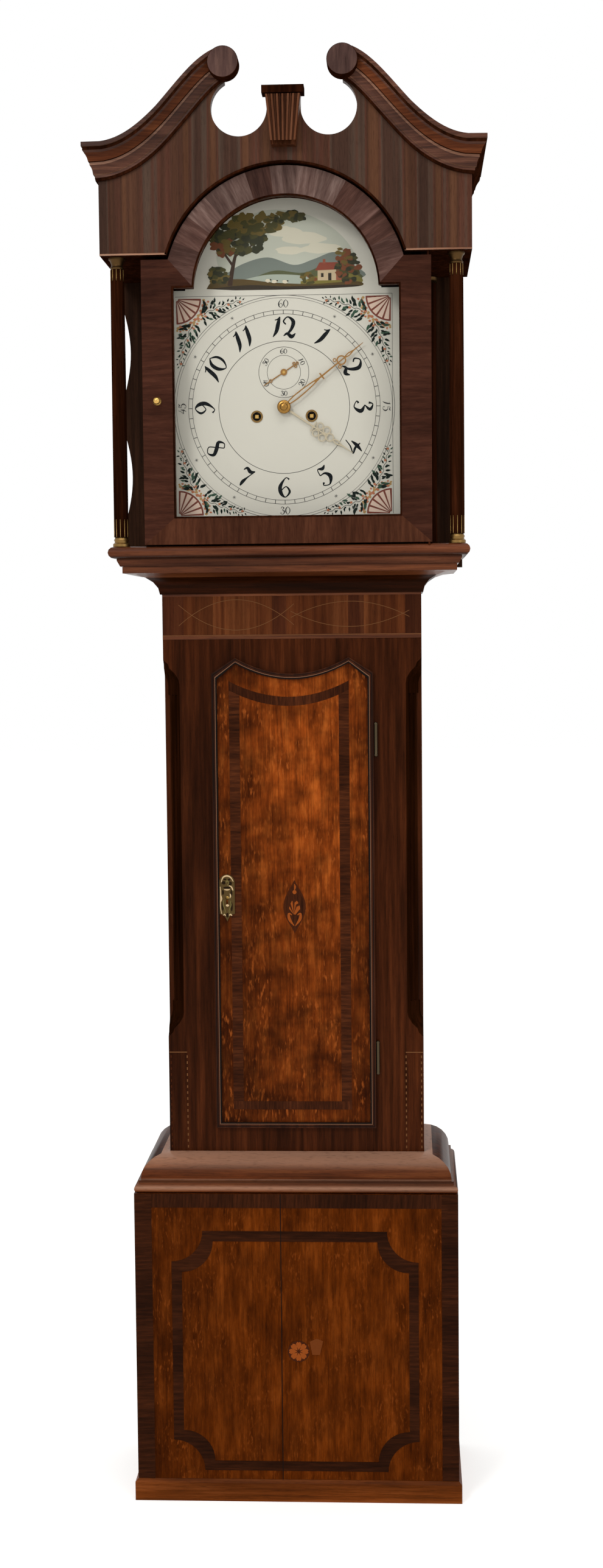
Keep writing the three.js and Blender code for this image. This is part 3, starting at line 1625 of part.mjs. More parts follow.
function hourHand() {
  const y0 = hourHandY;
  const y1 = hourHandY + handThickness;
  const length = hourHandLength;
  const lobes = hourLobeShares.map(([rise, radius]) => disc(radius * length, 0, rise * length, y0, y1));
  const holes = hourLobeShares.map(([rise, radius]) =>
    disc((radius * length * 3) / 5, 0, rise * length, y0 - overrun, y1 + overrun, 12),
  );
  const boss = disc(handBossRadius, 0, 0, y0, y1);
  const pierced = cut(join(stem(hourStemShares, length, y0, y1), boss, ...lobes), ...holes);
  const spine = taper(0, handThickness * 2, length / 2, handThickness * 2, y0, y1);
  const pipe = rodAlongY(hourPipeRadius, y0 + handThickness / 2, plateFrontY - gap, 12);
  const bore = rodAlongY(arborRadius + gap, y0 - overrun, plateFrontY + overrun, 12);
  return cut(join(pierced, spine, pipe), bore);
}

function secondsHand() {
  const y0 = secondsHandY;
  const y1 = secondsHandY + handThickness;
  const width = handThickness * 2;
  return cut(
    join(
      taper(0, width, secondsHandLength, width / 4, y0, y1),
      taper(-secondsHandLength * secondsTailShare, width, 0, width, y0, y1),
      disc(secondsBossRadius, 0, 0, y0, y1, 14),
      disc(width, 0, -secondsHandLength * secondsTailShare, y0, y1, 12),
    ),
    disc(arborRadius + gap, 0, 0, y0 - overrun, y1 + overrun, 12),
  );
}

function addHand(name, solid, degrees, [x, z]) {
  add(movement, name, "brass", solid, x, z);
  movement.children.at(-1).rotation.y = THREE.MathUtils.degToRad(degrees);
}
addHand("hour_hand", hourHand(), hourHandAngle, arbors.centre);
addHand("minute_hand", minuteHand(), minuteHandAngle, arbors.centre);
addHand("seconds_hand", secondsHand(), secondsHandAngle, arbors.escape);

// Anchor: two pallets over the escape wheel, on an arbor with the crutch that leads the pendulum

function anchor() {
  const reach = (escapeRadius + palletClearance) * Math.SQRT1_2;
  const tip = reach - palletRise;
  const body = escapeToothHeight / 3;
  const half = [
    [reach, tip],
    [reach + 2 * body, tip],
    [reach + 2 * body, tip / 2],
    [reach - body, body],
    [arborRadius + body, arborRadius + 2 * body],
  ];
  const inner = [
    [reach - body / 2, tip + 2 * body],
    [reach / 2, -arborRadius - body],
  ];
  const mirrored = (points) => points.map(([x, z]) => [-x, z]).reverse();
  const shape = outline([...half, ...mirrored(half), ...mirrored(inner).reverse(), ...inner.toReversed()]);
  const crutchY = plateBackY + crutchRoom;
  const tine = pendulumRodRadius + gap;
  const fork = (sign) =>
    block(
      Math.min(sign * tine, sign * (tine + crutchThickness)),
      Math.max(sign * tine, sign * (tine + crutchThickness)),
      crutchY,
      pendulumY + pendulumRodRadius,
      -crutchLength,
      crutchThickness - crutchLength,
    );
  return join(
    panel(shape, escapeWheelY - wheelThickness / 2, escapeWheelY + wheelThickness),
    rodAlongY(arborRadius, trainFrontY + gap, crutchY + crutchThickness, 10),
    rodAlongY(pivotRadius, plateFrontY, trainFrontY + overrun, 10),
    rodAlongY(arborRadius + crutchThickness / 2, crutchY, crutchY + crutchThickness, 12),
    block(
      -crutchThickness / 2,
      crutchThickness / 2,
      crutchY,
      crutchY + crutchThickness,
      -crutchLength,
      0,
    ),
    block(
      -tine - crutchThickness,
      tine + crutchThickness,
      crutchY,
      crutchY + crutchThickness,
      -crutchLength,
      crutchThickness - crutchLength,
    ),
    fork(-1),
    fork(1),
  );
}
add(movement, "anchor", "steel", anchor(), ...arbors.anchor);

// Pendulum: a spring in the cock's slot, a rod, a lens-shaped bob and the nut that sets its height

const bobMiddle = -pendulumLength;

function pendulumRod() {
  const seat = cockTop - suspensionRise + gap;
  const springEnd = -cockHeight - cockRise;
  const rodEnd = bobMiddle - bobRadius - 2 * ratingNutHeight;
  const parts = [
    block(-cockArm / 2, cockArm / 2, -springWidth / 2, springWidth / 2, seat, seat + cockHeight / 2),
    block(-springThickness, springThickness, -springWidth / 2, springWidth / 2, springEnd, seat + gap),
    rod(pendulumRodRadius, rodEnd, springEnd + cockRise / 2, 10),
    rod(ratingNutRadius, rodEnd + ratingNutHeight / 2, bobMiddle - bobRadius - gap, 8),
  ];
  return join(...parts).translate([0, pendulumY, 0]);
}
add(movement, "pendulum_rod", "steel", pendulumRod(), ...arbors.anchor);

const bobShares = [0, 0.4, 0.72, 1]; // of its radius, from the middle out

function pendulumBob() {
  const edge = bobThickness / 8;
  const face = bobThickness / 2 - edge;
  const lens = turnedAlongY(
    [
      ...bobShares.map((share) => [bobRadius * share, -edge - face * (1 - share ** 2)]),
      ...bobShares.toReversed().map((share) => [bobRadius * share, edge + face * (1 - share ** 2)]),
    ],
    22,
  );
  const bore = rod(pendulumRodRadius + gap, -bobRadius - overrun, bobRadius + overrun, 12);
  return cut(lens, bore).translate([0, pendulumY, bobMiddle]);
}
add(movement, "pendulum_bob", "brass", pendulumBob(), ...arbors.anchor);

// Bell hammer, inside the bell's rim

function hammer() {
  const headX = bellRadius - bellThickness - hammerRadius - runningGap;
  const headZ = bellRise;
  const arm = outline([
    [hammerSide - arborRadius, hammerRise],
    [hammerSide + arborRadius, hammerRise],
    [headX + arborRadius / 2, headZ],
    [headX - arborRadius / 2, headZ],
  ]);
  const half = wheelThickness / 2;
  return join(
    panel(arm, trainMiddleY - half, trainMiddleY + half),
    disc(hammerRadius, headX, headZ, trainMiddleY - hammerRadius, trainMiddleY + hammerRadius, 10),
    arbor(trainFrontY + gap, trainBackY - gap).translate([hammerSide, 0, hammerRise]),
  );
}
add(movement, "bell_hammer", "steel", hammer());

// Driving weights, each hung in the loop of its line by a pulley

const pulleyZ = seatBottom - pulleyDrop;
const stirrupBottom = -pulleyRadius - stirrupWidth / 2;

function drivingWeight() {
  const top = stirrupBottom - hookLength;
  const bottom = top - weightHeight;
  const body = turned(
    [
      [0, bottom],
      [weightRadius - weightTopCap / 2, bottom],
      [weightRadius, bottom + weightTopCap / 2],
      [weightRadius, top - weightTopCap],
      [weightRadius - weightTopCap, top],
      [0, top],
    ],
    16,
  );
  const cheekY = pulleyThickness / 2 + gap;
  const cheek = (y0) =>
    block(-stirrupWidth / 2, stirrupWidth / 2, y0, y0 + stirrupThickness, stirrupBottom, stirrupWidth / 2);
  return join(
    body,
    cheek(cheekY),
    cheek(-cheekY - stirrupThickness),
    block(
      -stirrupWidth / 2,
      stirrupWidth / 2,
      -cheekY - stirrupThickness,
      cheekY + stirrupThickness,
      stirrupBottom,
      stirrupBottom + stirrupThickness,
    ),
    rodAlongY(pivotRadius, -cheekY - stirrupThickness / 2, cheekY + stirrupThickness / 2, 10),
    rod(arborRadius, top - weightTopCap, stirrupBottom + stirrupThickness / 2, 10),
  ).translate([0, lineY, 0]);
}

function pulley() {
  const half = pulleyThickness / 2;
  const groove = pulleyRadius - pulleyGroove;
  return turnedAlongY(
    [
      [pivotRadius + pivotClearance, -half],
      [pulleyRadius, -half],
      [groove, -lineRadius],
      [groove, lineRadius],
      [pulleyRadius, half],
      [pivotRadius + pivotClearance, half],
      [pivotRadius + pivotClearance, -half],
    ],
    12,
  ).translate([0, lineY, 0]);
}

// The line's flat route: down from the barrel, half round the pulley, up to the seat board.
function gutLine() {
  const start = dialHeight - windingDrop - pulleyZ;
  const end = pulleyDrop - gap;
  const wrap = Array.from({ length: lineSteps + 1 }, (_, i) => {
    const angle = (Math.PI * i) / lineSteps;
    return [lineWrap * Math.cos(angle), -lineWrap * Math.sin(angle), angle];
  });
  const route = [[lineWrap, start, 0], ...wrap, [-lineWrap, end, Math.PI]];
  const rings = route.map(([x, z, angle]) =>
    Array.from({ length: lineSides }, (_, k) => {
      const turn = (2 * Math.PI * k) / lineSides;
      const out = lineRadius * Math.cos(turn);
      return new THREE.Vector3(
        x + out * Math.cos(angle),
        lineY + lineRadius * Math.sin(turn),
        z - out * Math.sin(angle),
      );
    }),
  );
  return loft(rings);
}

for (const [name, sign] of [["time", -1], ["strike", 1]]) {
  const x = dialShift + sign * pulleyX;
  const line = gutLine();
  add(caseGroup, `weight_${name}`, "castIron", drivingWeight(), x, pulleyZ);
  add(caseGroup, `pulley_${name}`, "brass", pulley(), x, pulleyZ);
  add(caseGroup, `gut_line_${name}`, "gut", sign < 0 ? line : line.mirror([1, 0, 0]), x, pulleyZ);
}

export default clock;
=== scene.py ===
"""Looks of the longcase clock: polished woods, inlay, the painted dial, brass and gut.

Shapes are drawn in front view as (x, z) in millimetres. Boxes, planes and paths in space are in metres.
"""

import math
import random

import bpy
from mathutils import Matrix, Vector
from mathutils.geometry import tessellate_polygon


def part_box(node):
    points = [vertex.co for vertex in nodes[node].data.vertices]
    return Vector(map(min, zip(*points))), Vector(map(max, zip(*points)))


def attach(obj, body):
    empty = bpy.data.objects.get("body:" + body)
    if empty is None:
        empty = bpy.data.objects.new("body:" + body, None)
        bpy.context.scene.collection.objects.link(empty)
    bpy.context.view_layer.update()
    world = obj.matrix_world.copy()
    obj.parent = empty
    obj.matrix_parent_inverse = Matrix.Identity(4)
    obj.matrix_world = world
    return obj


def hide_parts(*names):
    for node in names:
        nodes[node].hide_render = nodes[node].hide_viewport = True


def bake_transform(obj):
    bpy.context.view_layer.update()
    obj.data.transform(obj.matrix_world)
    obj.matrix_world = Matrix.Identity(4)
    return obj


MM = 0.001
TAU = 2 * math.pi

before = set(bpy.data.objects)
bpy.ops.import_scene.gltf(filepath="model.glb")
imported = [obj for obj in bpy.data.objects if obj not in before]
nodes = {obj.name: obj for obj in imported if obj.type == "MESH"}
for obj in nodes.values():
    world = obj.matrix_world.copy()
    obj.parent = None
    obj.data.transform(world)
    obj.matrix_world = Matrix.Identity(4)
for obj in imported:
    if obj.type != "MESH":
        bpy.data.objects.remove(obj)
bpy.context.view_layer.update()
dice = random.Random(11)


# Colours

def linear(value):
    value /= 255
    return value / 12.92 if value <= 0.04045 else ((value + 0.055) / 1.055) ** 2.4


def rgb(red, green, blue):
    return (linear(red), linear(green), linear(blue), 1.0)


# Materials

def shader(name, roughness=0.5, specular=0.3, metallic=0.0):
    material = bpy.data.materials.new(name)
    material.use_nodes = True
    tree = material.node_tree
    surface = tree.nodes["Principled BSDF"]
    surface.inputs["Roughness"].default_value = roughness
    surface.inputs["Specular IOR Level"].default_value = specular
    surface.inputs["Metallic"].default_value = metallic
    return material, tree, surface


def plain(name, colour, roughness=0.5, specular=0.3, metallic=0.0):
    material, _, surface = shader(name, roughness, specular, metallic)
    surface.inputs["Base Color"].default_value = rgb(*colour)
    return material


def metal(name, colour, roughness):
    return plain(name, colour, roughness, 0.5, 1.0)


# For x, y and z: 1 where the axis runs across the grain, 0 where it runs along it
GRAINS = {"up": (1, 1, 0), "level": (0, 0, 1), "uv": (0, 1, 1)}


def noise(tree, source, across, along, grain, detail=4.0, rough=0.55, shift=0.0):
    """Noise whose cells measure `across` by `along` the grain."""
    mapping = tree.nodes.new("ShaderNodeMapping")
    axes = GRAINS[grain]
    mapping.inputs["Scale"].default_value = [
        1 / (MM * (across if axis else along)) for axis in axes
    ]
    mapping.inputs["Location"].default_value = (shift, shift, shift)
    tree.links.new(source, mapping.inputs["Vector"])
    cells = tree.nodes.new("ShaderNodeTexNoise")
    cells.inputs["Scale"].default_value = 1.0
    cells.inputs["Detail"].default_value = detail
    cells.inputs["Roughness"].default_value = rough
    tree.links.new(mapping.outputs["Vector"], cells.inputs["Vector"])
    return cells.outputs["Fac"]


def ramp(tree, source, stops):
    node = tree.nodes.new("ShaderNodeValToRGB")
    elements = node.color_ramp.elements
    while len(elements) < len(stops):
        elements.new(0.5)
    for element, (place, colour) in zip(elements, stops):
        element.position = place
        element.color = colour
    tree.links.new(source, node.inputs["Fac"])
    return node.outputs["Color"]


def mixed(tree, first, second, share, blend="MIX"):
    """Mixes two colours. The second colour and the share may each be a value or another node's output."""
    mix = tree.nodes.new("ShaderNodeMix")
    mix.data_type = "RGBA"
    mix.blend_type = blend
    tree.links.new(first, mix.inputs["A"])
    for socket, value in (("B", second), ("Factor", share)):
        if isinstance(value, bpy.types.NodeSocket):
            tree.links.new(value, mix.inputs[socket])
        else:
            mix.inputs[socket].default_value = value
    return mix.outputs["Result"]


def multiply(tree, first, second, share=1.0):
    return mixed(tree, first, second, share, "MULTIPLY")


def grey(value):
    return (value, value, value, 1.0)


def along_axis(tree, axis, stops):
    """A grey that changes over a piece's own length on one axis."""
    coordinates = tree.nodes.new("ShaderNodeTexCoord")
    parts = tree.nodes.new("ShaderNodeSeparateXYZ")
    tree.links.new(coordinates.outputs["Generated"], parts.inputs["Vector"])
    return ramp(tree, parts.outputs[axis], [(place, grey(value)) for place, value in stops])


def wood(name, dark, middle, light, grain="up", across=7, along=170, roughness=0.32, specular=0.03,
         patch=0.35, patch_across=70, patch_along=500, flecks=None, fleck_size=(5, 16), lines=0.0, painted_shading=(),
         strips=None, painted_highlight_band=None):
    """Wood with a grain of three colours, and patches, strips, flecks, painted shading or a painted highlight
    where given.
    """
    material, tree, surface = shader(name, roughness, specular)
    coordinates = tree.nodes.new("ShaderNodeTexCoord")
    source = coordinates.outputs["UV" if grain == "uv" else "Object"]

    def greys(cells, *stops):
        return ramp(tree, cells, [(place, grey(value)) for place, value in stops])

    body = noise(tree, source, across, along, grain, 6.0, 0.62)
    colour = ramp(tree, body, [(0.3, rgb(*dark)), (0.5, rgb(*middle)), (0.7, rgb(*light))])
    if strips:
        size, hues, share = strips
        bands = noise(tree, source, *size, grain, 1.0, 0.4, 17.0)
        colour = mixed(tree, colour, ramp(tree, bands, [(place, rgb(*hue)) for place, hue in hues]), share)
    broad = noise(tree, source, patch_across, patch_along, grain, 3.0, 0.5, 3.0)
    colour = multiply(tree, colour, greys(broad, (0.35, 1 - patch), (0.62, 1 + patch)))
    if lines:
        fine = noise(tree, source, 2.2, 90, grain, 3.0, 0.6, 11.0)
        colour = multiply(tree, colour, greys(fine, (0.36, 1 - lines), (0.6, 1 + lines)))
    # painted shading: the colour darkened and lightened along the piece's own axes
    for axis, stops in painted_shading:
        colour = multiply(tree, colour, along_axis(tree, axis, stops))
    if flecks:
        spots = greys(noise(tree, source, *fleck_size, grain, 2.0, 0.5, 7.0), (0.55, 0.0), (0.72, 0.7))
        groups = greys(noise(tree, source, 40, 60, grain, 2.0, 0.5, 13.0), (0.42, 0.1), (0.62, 1.0))
        colour = mixed(tree, colour, rgb(*flecks), multiply(tree, spots, groups))
    # painted highlight: a pale colour blended in along the piece's height
    if painted_highlight_band:
        pale, stops = painted_highlight_band
        colour = mixed(tree, colour, rgb(*pale), along_axis(tree, "Z", stops))
    pores = greys(noise(tree, source, 0.8, 14, grain, 2.0, 0.5, 5.0), (0.3, 0.62), (0.46, 1.0))
    tree.links.new(multiply(tree, colour, pores, 0.8), surface.inputs["Base Color"])
    bump = tree.nodes.new("ShaderNodeBump")
    bump.inputs["Strength"].default_value = 0.12
    bump.inputs["Distance"].default_value = 0.4 * MM
    tree.links.new(pores, bump.inputs["Height"])
    tree.links.new(bump.outputs["Normal"], surface.inputs["Normal"])
    return material


LEVEL = {"grain": "level", "roughness": 0.3}
NECK = {"grain": "level", "across": 5, "along": 120}
KEYSTONE_GRAIN = {"across": 6, "along": 200}
CROSSBAND = {"grain": "uv", "across": 7, "along": 60, "patch": 0.25}

mahogany = wood("mahogany_upright", (36, 13, 2), (58, 25, 8), (78, 37, 15))
# A darker mahogany for the trunk stiles' side faces: painted shade.
mahogany_cant = wood("mahogany_cant", (22, 8, 1), (34, 14, 4), (48, 21, 8), specular=0.0)
mahogany_level = wood("mahogany_level", (66, 30, 12), (94, 49, 25), (122, 70, 40), **LEVEL, specular=0.14)
# A darker mahogany for the throat: painted shade in the hollow under the hood.
mahogany_throat = wood("mahogany_throat", (24, 7, 0), (38, 14, 2), (54, 22, 7), grain="level")
# The base moulding is darkened along its height as painted shade in its fillet, and paled as painted
# highlight on its torus, the bead above it and the top of its ovolo.
mahogany_base = wood(
    "mahogany_base_moulding", (72, 32, 10), (106, 51, 21), (134, 73, 36), **LEVEL, specular=0.05,
    painted_shading=[("Z", [(0.0, 0.7), (0.1, 1.0), (0.26, 0.9), (0.29, 0.35), (0.34, 0.4), (0.37, 1.0), (1.0, 1.0)])],
    painted_highlight_band=((168, 126, 102), [(0.06, 0.0), (0.16, 0.75), (0.24, 0.1), (0.34, 0.0), (0.36, 0.55), (0.39, 0.0),
                            (0.62, 0.05), (0.84, 0.6), (1.0, 0.85)]),
)
# The hood base is lightened along its height as painted highlight on its torus, and darkened as painted shade
# in its groove and towards its foot.
mahogany_torus = wood(
    "mahogany_hood_base", (66, 30, 14), (92, 50, 30), (116, 68, 44), **LEVEL, specular=0.08,
    painted_shading=[("Z", [(0.0, 0.55), (0.12, 0.7), (0.24, 0.95), (0.33, 0.8), (0.38, 0.3), (0.46, 0.3),
                   (0.54, 0.85), (0.8, 1.1), (1.0, 0.8)])],
)
# Darker mahogany: painted shade on the hood's sides, the tympanum's soffit, the bead round its arch, the swan
# necks' returns and the dial mask; it is also the wood of the columns, the keystone's cap and the hood door's
# bead.
mahogany_dark = wood("mahogany_shaded", (26, 10, 3), (40, 17, 7), (56, 26, 12), specular=0.0, roughness=0.5)
mahogany_bead = wood("mahogany_bead", (34, 14, 4), (50, 22, 9), (66, 32, 15), specular=0.06)
# A pale mahogany: painted highlight on the frieze's lower bead.
mahogany_painted_highlight = wood("mahogany_painted_highlight", (116, 76, 54), (142, 100, 76), (166, 124, 98), **LEVEL, specular=0.2)
mahogany_neck = wood("mahogany_neck", (46, 25, 17), (74, 43, 31), (104, 67, 50), **NECK, specular=0.14)
# A lighter neck wood: painted highlight on the moulding's fillets.
neck_highlight = wood("mahogany_neck_painted_highlight", (84, 54, 40), (112, 78, 60), (140, 104, 84), **NECK, specular=0.12)
neck_warm = wood("mahogany_neck_warm", (60, 28, 12), (88, 44, 22), (112, 62, 34), **NECK, specular=0.06)
mahogany_round = wood("mahogany_roundel", (58, 40, 36), (76, 55, 50), (92, 68, 60), across=8, along=60)
mahogany_hood = wood(
    "mahogany_hood", (50, 31, 24), (70, 45, 35), (88, 59, 46), across=5, along=260, patch=0.22,
    patch_across=60, patch_along=900,
    strips=((17, 2600), [(0.36, (58, 42, 34)), (0.44, (76, 64, 54)), (0.5, (82, 48, 36)),
                         (0.56, (66, 42, 30)), (0.64, (90, 58, 38))], 0.6),
)
# Lighter and darker keystone woods: painted highlight on the flutes' ridges and painted shade in their
# grooves.
key_highlight = wood("mahogany_key_painted_highlight", (84, 48, 28), (106, 64, 42), (126, 82, 58), **KEYSTONE_GRAIN)
key_shade = wood("mahogany_key_painted_shade", (44, 22, 10), (62, 33, 18), (80, 46, 28), **KEYSTONE_GRAIN)
mahogany_key = wood("mahogany_keystone", (54, 27, 13), (88, 48, 28), (118, 72, 46), **KEYSTONE_GRAIN)
veneer = wood("veneer_crossbanding", (48, 25, 17), (61, 33, 23), (74, 42, 30), **CROSSBAND)
veneer_low = wood("veneer_bottom_rail", (56, 29, 18), (71, 39, 25), (86, 50, 33), **CROSSBAND)
veneer_arch = [
    wood("veneer_arch_" + word, *tones, grain="uv", across=9, along=70, patch=0.25) for word, *tones in (
        ("a", (58, 38, 33), (80, 56, 49), (104, 78, 70)),
        ("b", (48, 30, 25), (68, 45, 38), (90, 62, 53)),
        ("c", (70, 50, 45), (96, 74, 67), (122, 100, 92)),
    )
]
veneer_frieze = [
    wood("veneer_frieze_" + word, *tones, grain="uv", across=14, along=400, patch=0.25, patch_across=40,
         patch_along=900) for word, *tones in (
        ("a", (48, 19, 7), (78, 38, 17), (98, 52, 26)),
        ("b", (44, 18, 8), (68, 33, 17), (86, 46, 25)),
        ("c", (56, 25, 10), (86, 44, 21), (110, 62, 33)),
    )
]
DARK_BAND = {"grain": "uv", "across": 4}
veneer_dark = wood("veneer_dark_band", (42, 19, 8), (62, 29, 13), (83, 42, 20), **DARK_BAND, along=40)
veneer_border = wood("veneer_border", (34, 13, 3), (48, 21, 7), (64, 30, 12), **DARK_BAND, along=50)
# The door is darkened towards its sides, top and foot, leaving it lightest in the middle: a painted pool of
# light.
oak = wood(
    "oak_door", (84, 33, 5), (118, 52, 12), (148, 74, 24), across=14, along=60, patch=0.4, patch_across=46,
    patch_along=34, flecks=(172, 88, 34), fleck_size=(3.2, 13), roughness=0.38, lines=0.24,
    painted_shading=[("X", [(0.0, 0.42), (0.12, 0.5), (0.24, 0.62), (0.38, 0.94), (0.5, 1.06), (0.78, 1.0),
                   (0.88, 0.7), (1.0, 0.6)]),
            ("Z", [(0.0, 0.5), (0.2, 0.58), (0.42, 0.72), (0.62, 1.0), (0.86, 1.04), (1.0, 0.8)])],
)
# The base front is darkened towards both sides: painted shade.
oak_base = wood(
    "oak_base", (64, 24, 0), (88, 37, 3), (112, 52, 10), across=12, along=60, patch=0.2, patch_across=50,
    patch_along=60, flecks=(132, 64, 20), fleck_size=(3.2, 10), roughness=0.4, specular=0.02, lines=0.16,
    painted_shading=[("X", [(0.0, 0.6), (0.14, 0.8), (0.3, 0.96), (0.55, 1.04), (0.8, 1.0), (1.0, 0.7)])],
)
plinth_wood = wood("mahogany_plinth", (74, 34, 8), (104, 50, 14), (130, 68, 28), grain="level")
pine = wood(
    "pine_bare", (112, 78, 46), (142, 104, 66), (168, 128, 86), roughness=0.7, specular=0.2, patch=0.2,
)
pine_stained = wood("pine_stained", (30, 17, 10), (44, 26, 16), (60, 37, 24), roughness=0.6, patch=0.2)
inlay_pale, inlay_orange, inlay_brown, inlay_faint = (
    plain("inlay_" + word, colour, 0.5, 0.05) for word, colour in (
        ("pale", (112, 72, 42)), ("orange", (150, 74, 26)), ("brown", (66, 28, 8)), ("faint", (112, 56, 20)),
    )
)
# A pale line of painted highlight on the trunk door's bead.
bead_painted_highlight = plain("bead_painted_highlight", (120, 84, 62), 0.4, 0.1)
# Dark lines: a real joint in the base, and painted shadow beside the trunk door's bead and inside the winding
# holes.
joint_and_shadow_line = plain("joint_and_shadow_dark", (14, 7, 4), 0.8, 0.1)
brass = metal("brass_polished", (204, 164, 92), 0.28)
brass_old = metal("brass_aged", (128, 100, 58), 0.4)
brass_dark = metal("brass_dark", (84, 62, 36), 0.5)
escutcheon_brass = metal("escutcheon_brass", (82, 65, 38), 0.45)
hinge_brass = metal("hinge_brass", (72, 62, 46), 0.4)
steel = metal("steel_plain", (150, 150, 152), 0.35)
iron = plain("iron_cast", (52, 50, 48), 0.6, 0.4, 0.6)
gut = plain("gut_line", (176, 140, 88), 0.5)
enamel = plain("dial_enamel", (220, 216, 201), 0.3, 0.2)

glass, _, glass_surface = shader("glass_pane", 0.03, 0.5)
glass_surface.inputs["Base Color"].default_value = (0.02, 0.02, 0.02, 1)
glass_surface.inputs["Alpha"].default_value = 0.04
glass_surface.inputs["IOR"].default_value = 1.45


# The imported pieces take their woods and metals

LOOKS = (
    (pine_stained, "backboard"),
    (pine, "seat_board hood_roof"),
    (mahogany, "trunk_side_left trunk_side_right trunk_stile_left trunk_stile_right trunk_top_rail "
               "trunk_bottom_rail base_side_left base_side_right hood_door"),
    (mahogany_throat, "throat_moulding"),
    (mahogany_base, "base_moulding"),
    (mahogany_torus, "hood_base"),
    # the hood's sides are in the darker mahogany as painted shade
    (mahogany_dark, "hood_side_left hood_side_right"),
    (mahogany_hood, "tympanum"),
    (mahogany_key, "keystone"),
    (plinth_wood, "plinth"),
    (oak_base, "base_front"),
    (oak, "trunk_door"),
    (glass, "hood_glass"),
    (enamel, "dial"),
    (escutcheon_brass, "trunk_escutcheon"),
    (hinge_brass, "trunk_hinge_upper trunk_hinge_lower"),
    (brass_dark, "capital_left capital_right"),
    (brass_old, "column_base_left column_base_right"),
    (steel, "anchor pendulum_rod bell_hammer"),
    (iron, "weight_time weight_strike"),
)
LOOK_OF = {name: material for material, names in LOOKS for name in names.split()}
SMOOTH_ANGLE = math.radians(38)
WELD_GAP = 0.01 * MM

for name, node in nodes.items():
    node.data.materials.clear()
    node.data.materials.append(LOOK_OF.get(name, brass))
    for face in node.data.polygons:
        face.use_smooth = True
    node.modifiers.new("weld", "WELD").merge_threshold = WELD_GAP
    split = node.modifiers.new("edges", "EDGE_SPLIT")
    split.split_angle = SMOOTH_ANGLE
    split.use_edge_sharp = False

THROAT_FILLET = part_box("throat_moulding")[1].z - 16 * MM
KEYSTONE_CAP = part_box("keystone")[1].z - 12 * MM
ARCH_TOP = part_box("keystone")[0].z


def second_wood(name, material, chosen):
    """Gives the faces of one piece that `chosen` picks another wood."""
    mesh = nodes[name].data
    mesh.materials.append(material)
    for face in mesh.polygons:
        if chosen(nodes[name].matrix_world.to_3x3() @ face.normal, nodes[name].matrix_world @ face.center):
            face.material_index = 1


# the stiles' side faces take the darker mahogany as painted shade
for word in ("left", "right"):
    second_wood("trunk_stile_" + word, mahogany_cant, lambda normal, centre: abs(normal.x) > 0.25)
# the throat's hollow keeps the darker wood as painted shade; its top fillet takes the level wood
second_wood("throat_moulding", mahogany_level, lambda normal, centre: centre.z > THROAT_FILLET)
# the soffit round the tympanum's arch takes the darker mahogany as painted shade
second_wood("tympanum", mahogany_dark, lambda normal, centre: abs(normal.y) < 0.5 and centre.z < ARCH_TOP)
second_wood("base_moulding", mahogany, lambda normal, centre: abs(normal.x) > 0.3)
second_wood("keystone", mahogany_dark, lambda normal, centre: centre.z > KEYSTONE_CAP)
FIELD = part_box("trunk_escutcheon")[1].y + 0.3 * MM
LIP = FIELD - 0.5 * MM
second_wood("trunk_door", mahogany_bead, lambda normal, centre: normal.y > -0.99 or centre.y < LIP)


# Flat shapes, drawn in front view

def ring(x, z, radius, start=0.0, end=360.0, count=48):
    """Points on an arc, in degrees anticlockwise from +x."""
    closed = abs(end - start) >= 360
    steps = count if closed else max(2, round(count * abs(end - start) / 360) + 1)
    last = steps if closed else steps - 1
    angles = [math.radians(start + (end - start) * i / last) for i in range(steps)]
    return [(x + radius * math.cos(angle), z + radius * math.sin(angle)) for angle in angles]


def polar(radius, angle):
    return radius * math.cos(math.radians(angle)), radius * math.sin(math.radians(angle))


def rectangle(x0, x1, z0, z1):
    return [(x0, z0), (x1, z0), (x1, z1), (x0, z1)]


def sector(x, z, inner, outer, start, end, count=48):
    return ring(x, z, outer, start, end, count) + ring(x, z, inner, end, start, count)


def ribbon(points, widths):
    """An outline along a line of points, as wide as `widths` says there."""
    if not isinstance(widths, (list, tuple)):
        widths = [widths] * len(points)
    left, right = [], []
    for i, (x, z) in enumerate(points):
        x0, z0 = points[max(i - 1, 0)]
        x1, z1 = points[min(i + 1, len(points) - 1)]
        length = math.hypot(x1 - x0, z1 - z0) or 1
        nx, nz = -(z1 - z0) / length, (x1 - x0) / length
        half = max(widths[i], 0.05) / 2
        left.append((x + nx * half, z + nz * half))
        right.append((x - nx * half, z - nz * half))
    return left + right[::-1]


def smooth(points, steps=6):
    """Points on a curve through the given ones."""
    out = []
    ends = [points[0], *points, points[-1]]
    for a, b, c, d in zip(ends, ends[1:], ends[2:], ends[3:]):
        for i in range(steps):
            t = i / steps
            out.append(tuple(
                0.5 * (2 * q + (r - p) * t + (2 * p - 5 * q + 4 * r - s) * t * t
                       + (3 * q - p - 3 * r + s) * t ** 3)
                for p, q, r, s in zip(a, b, c, d)
            ))
    out.append(points[-1])
    return out


def stroke(points, steps=6):
    """A pen stroke through (x, z, width) points."""
    fine = smooth(points, steps)
    return ribbon([(x, z) for x, z, _ in fine], [w for _, _, w in fine])


def pen_line(points, steps=6):
    """A pen stroke in short lengths, so that it may close or cross itself."""
    fine = smooth(points, steps)
    lengths = []
    for first in range(0, len(fine) - 1, 7):
        part = fine[first:first + 9]
        if len(part) > 1:
            lengths.append(ribbon([(x, z) for x, z, _ in part], [w for _, _, w in part]))
    return lengths


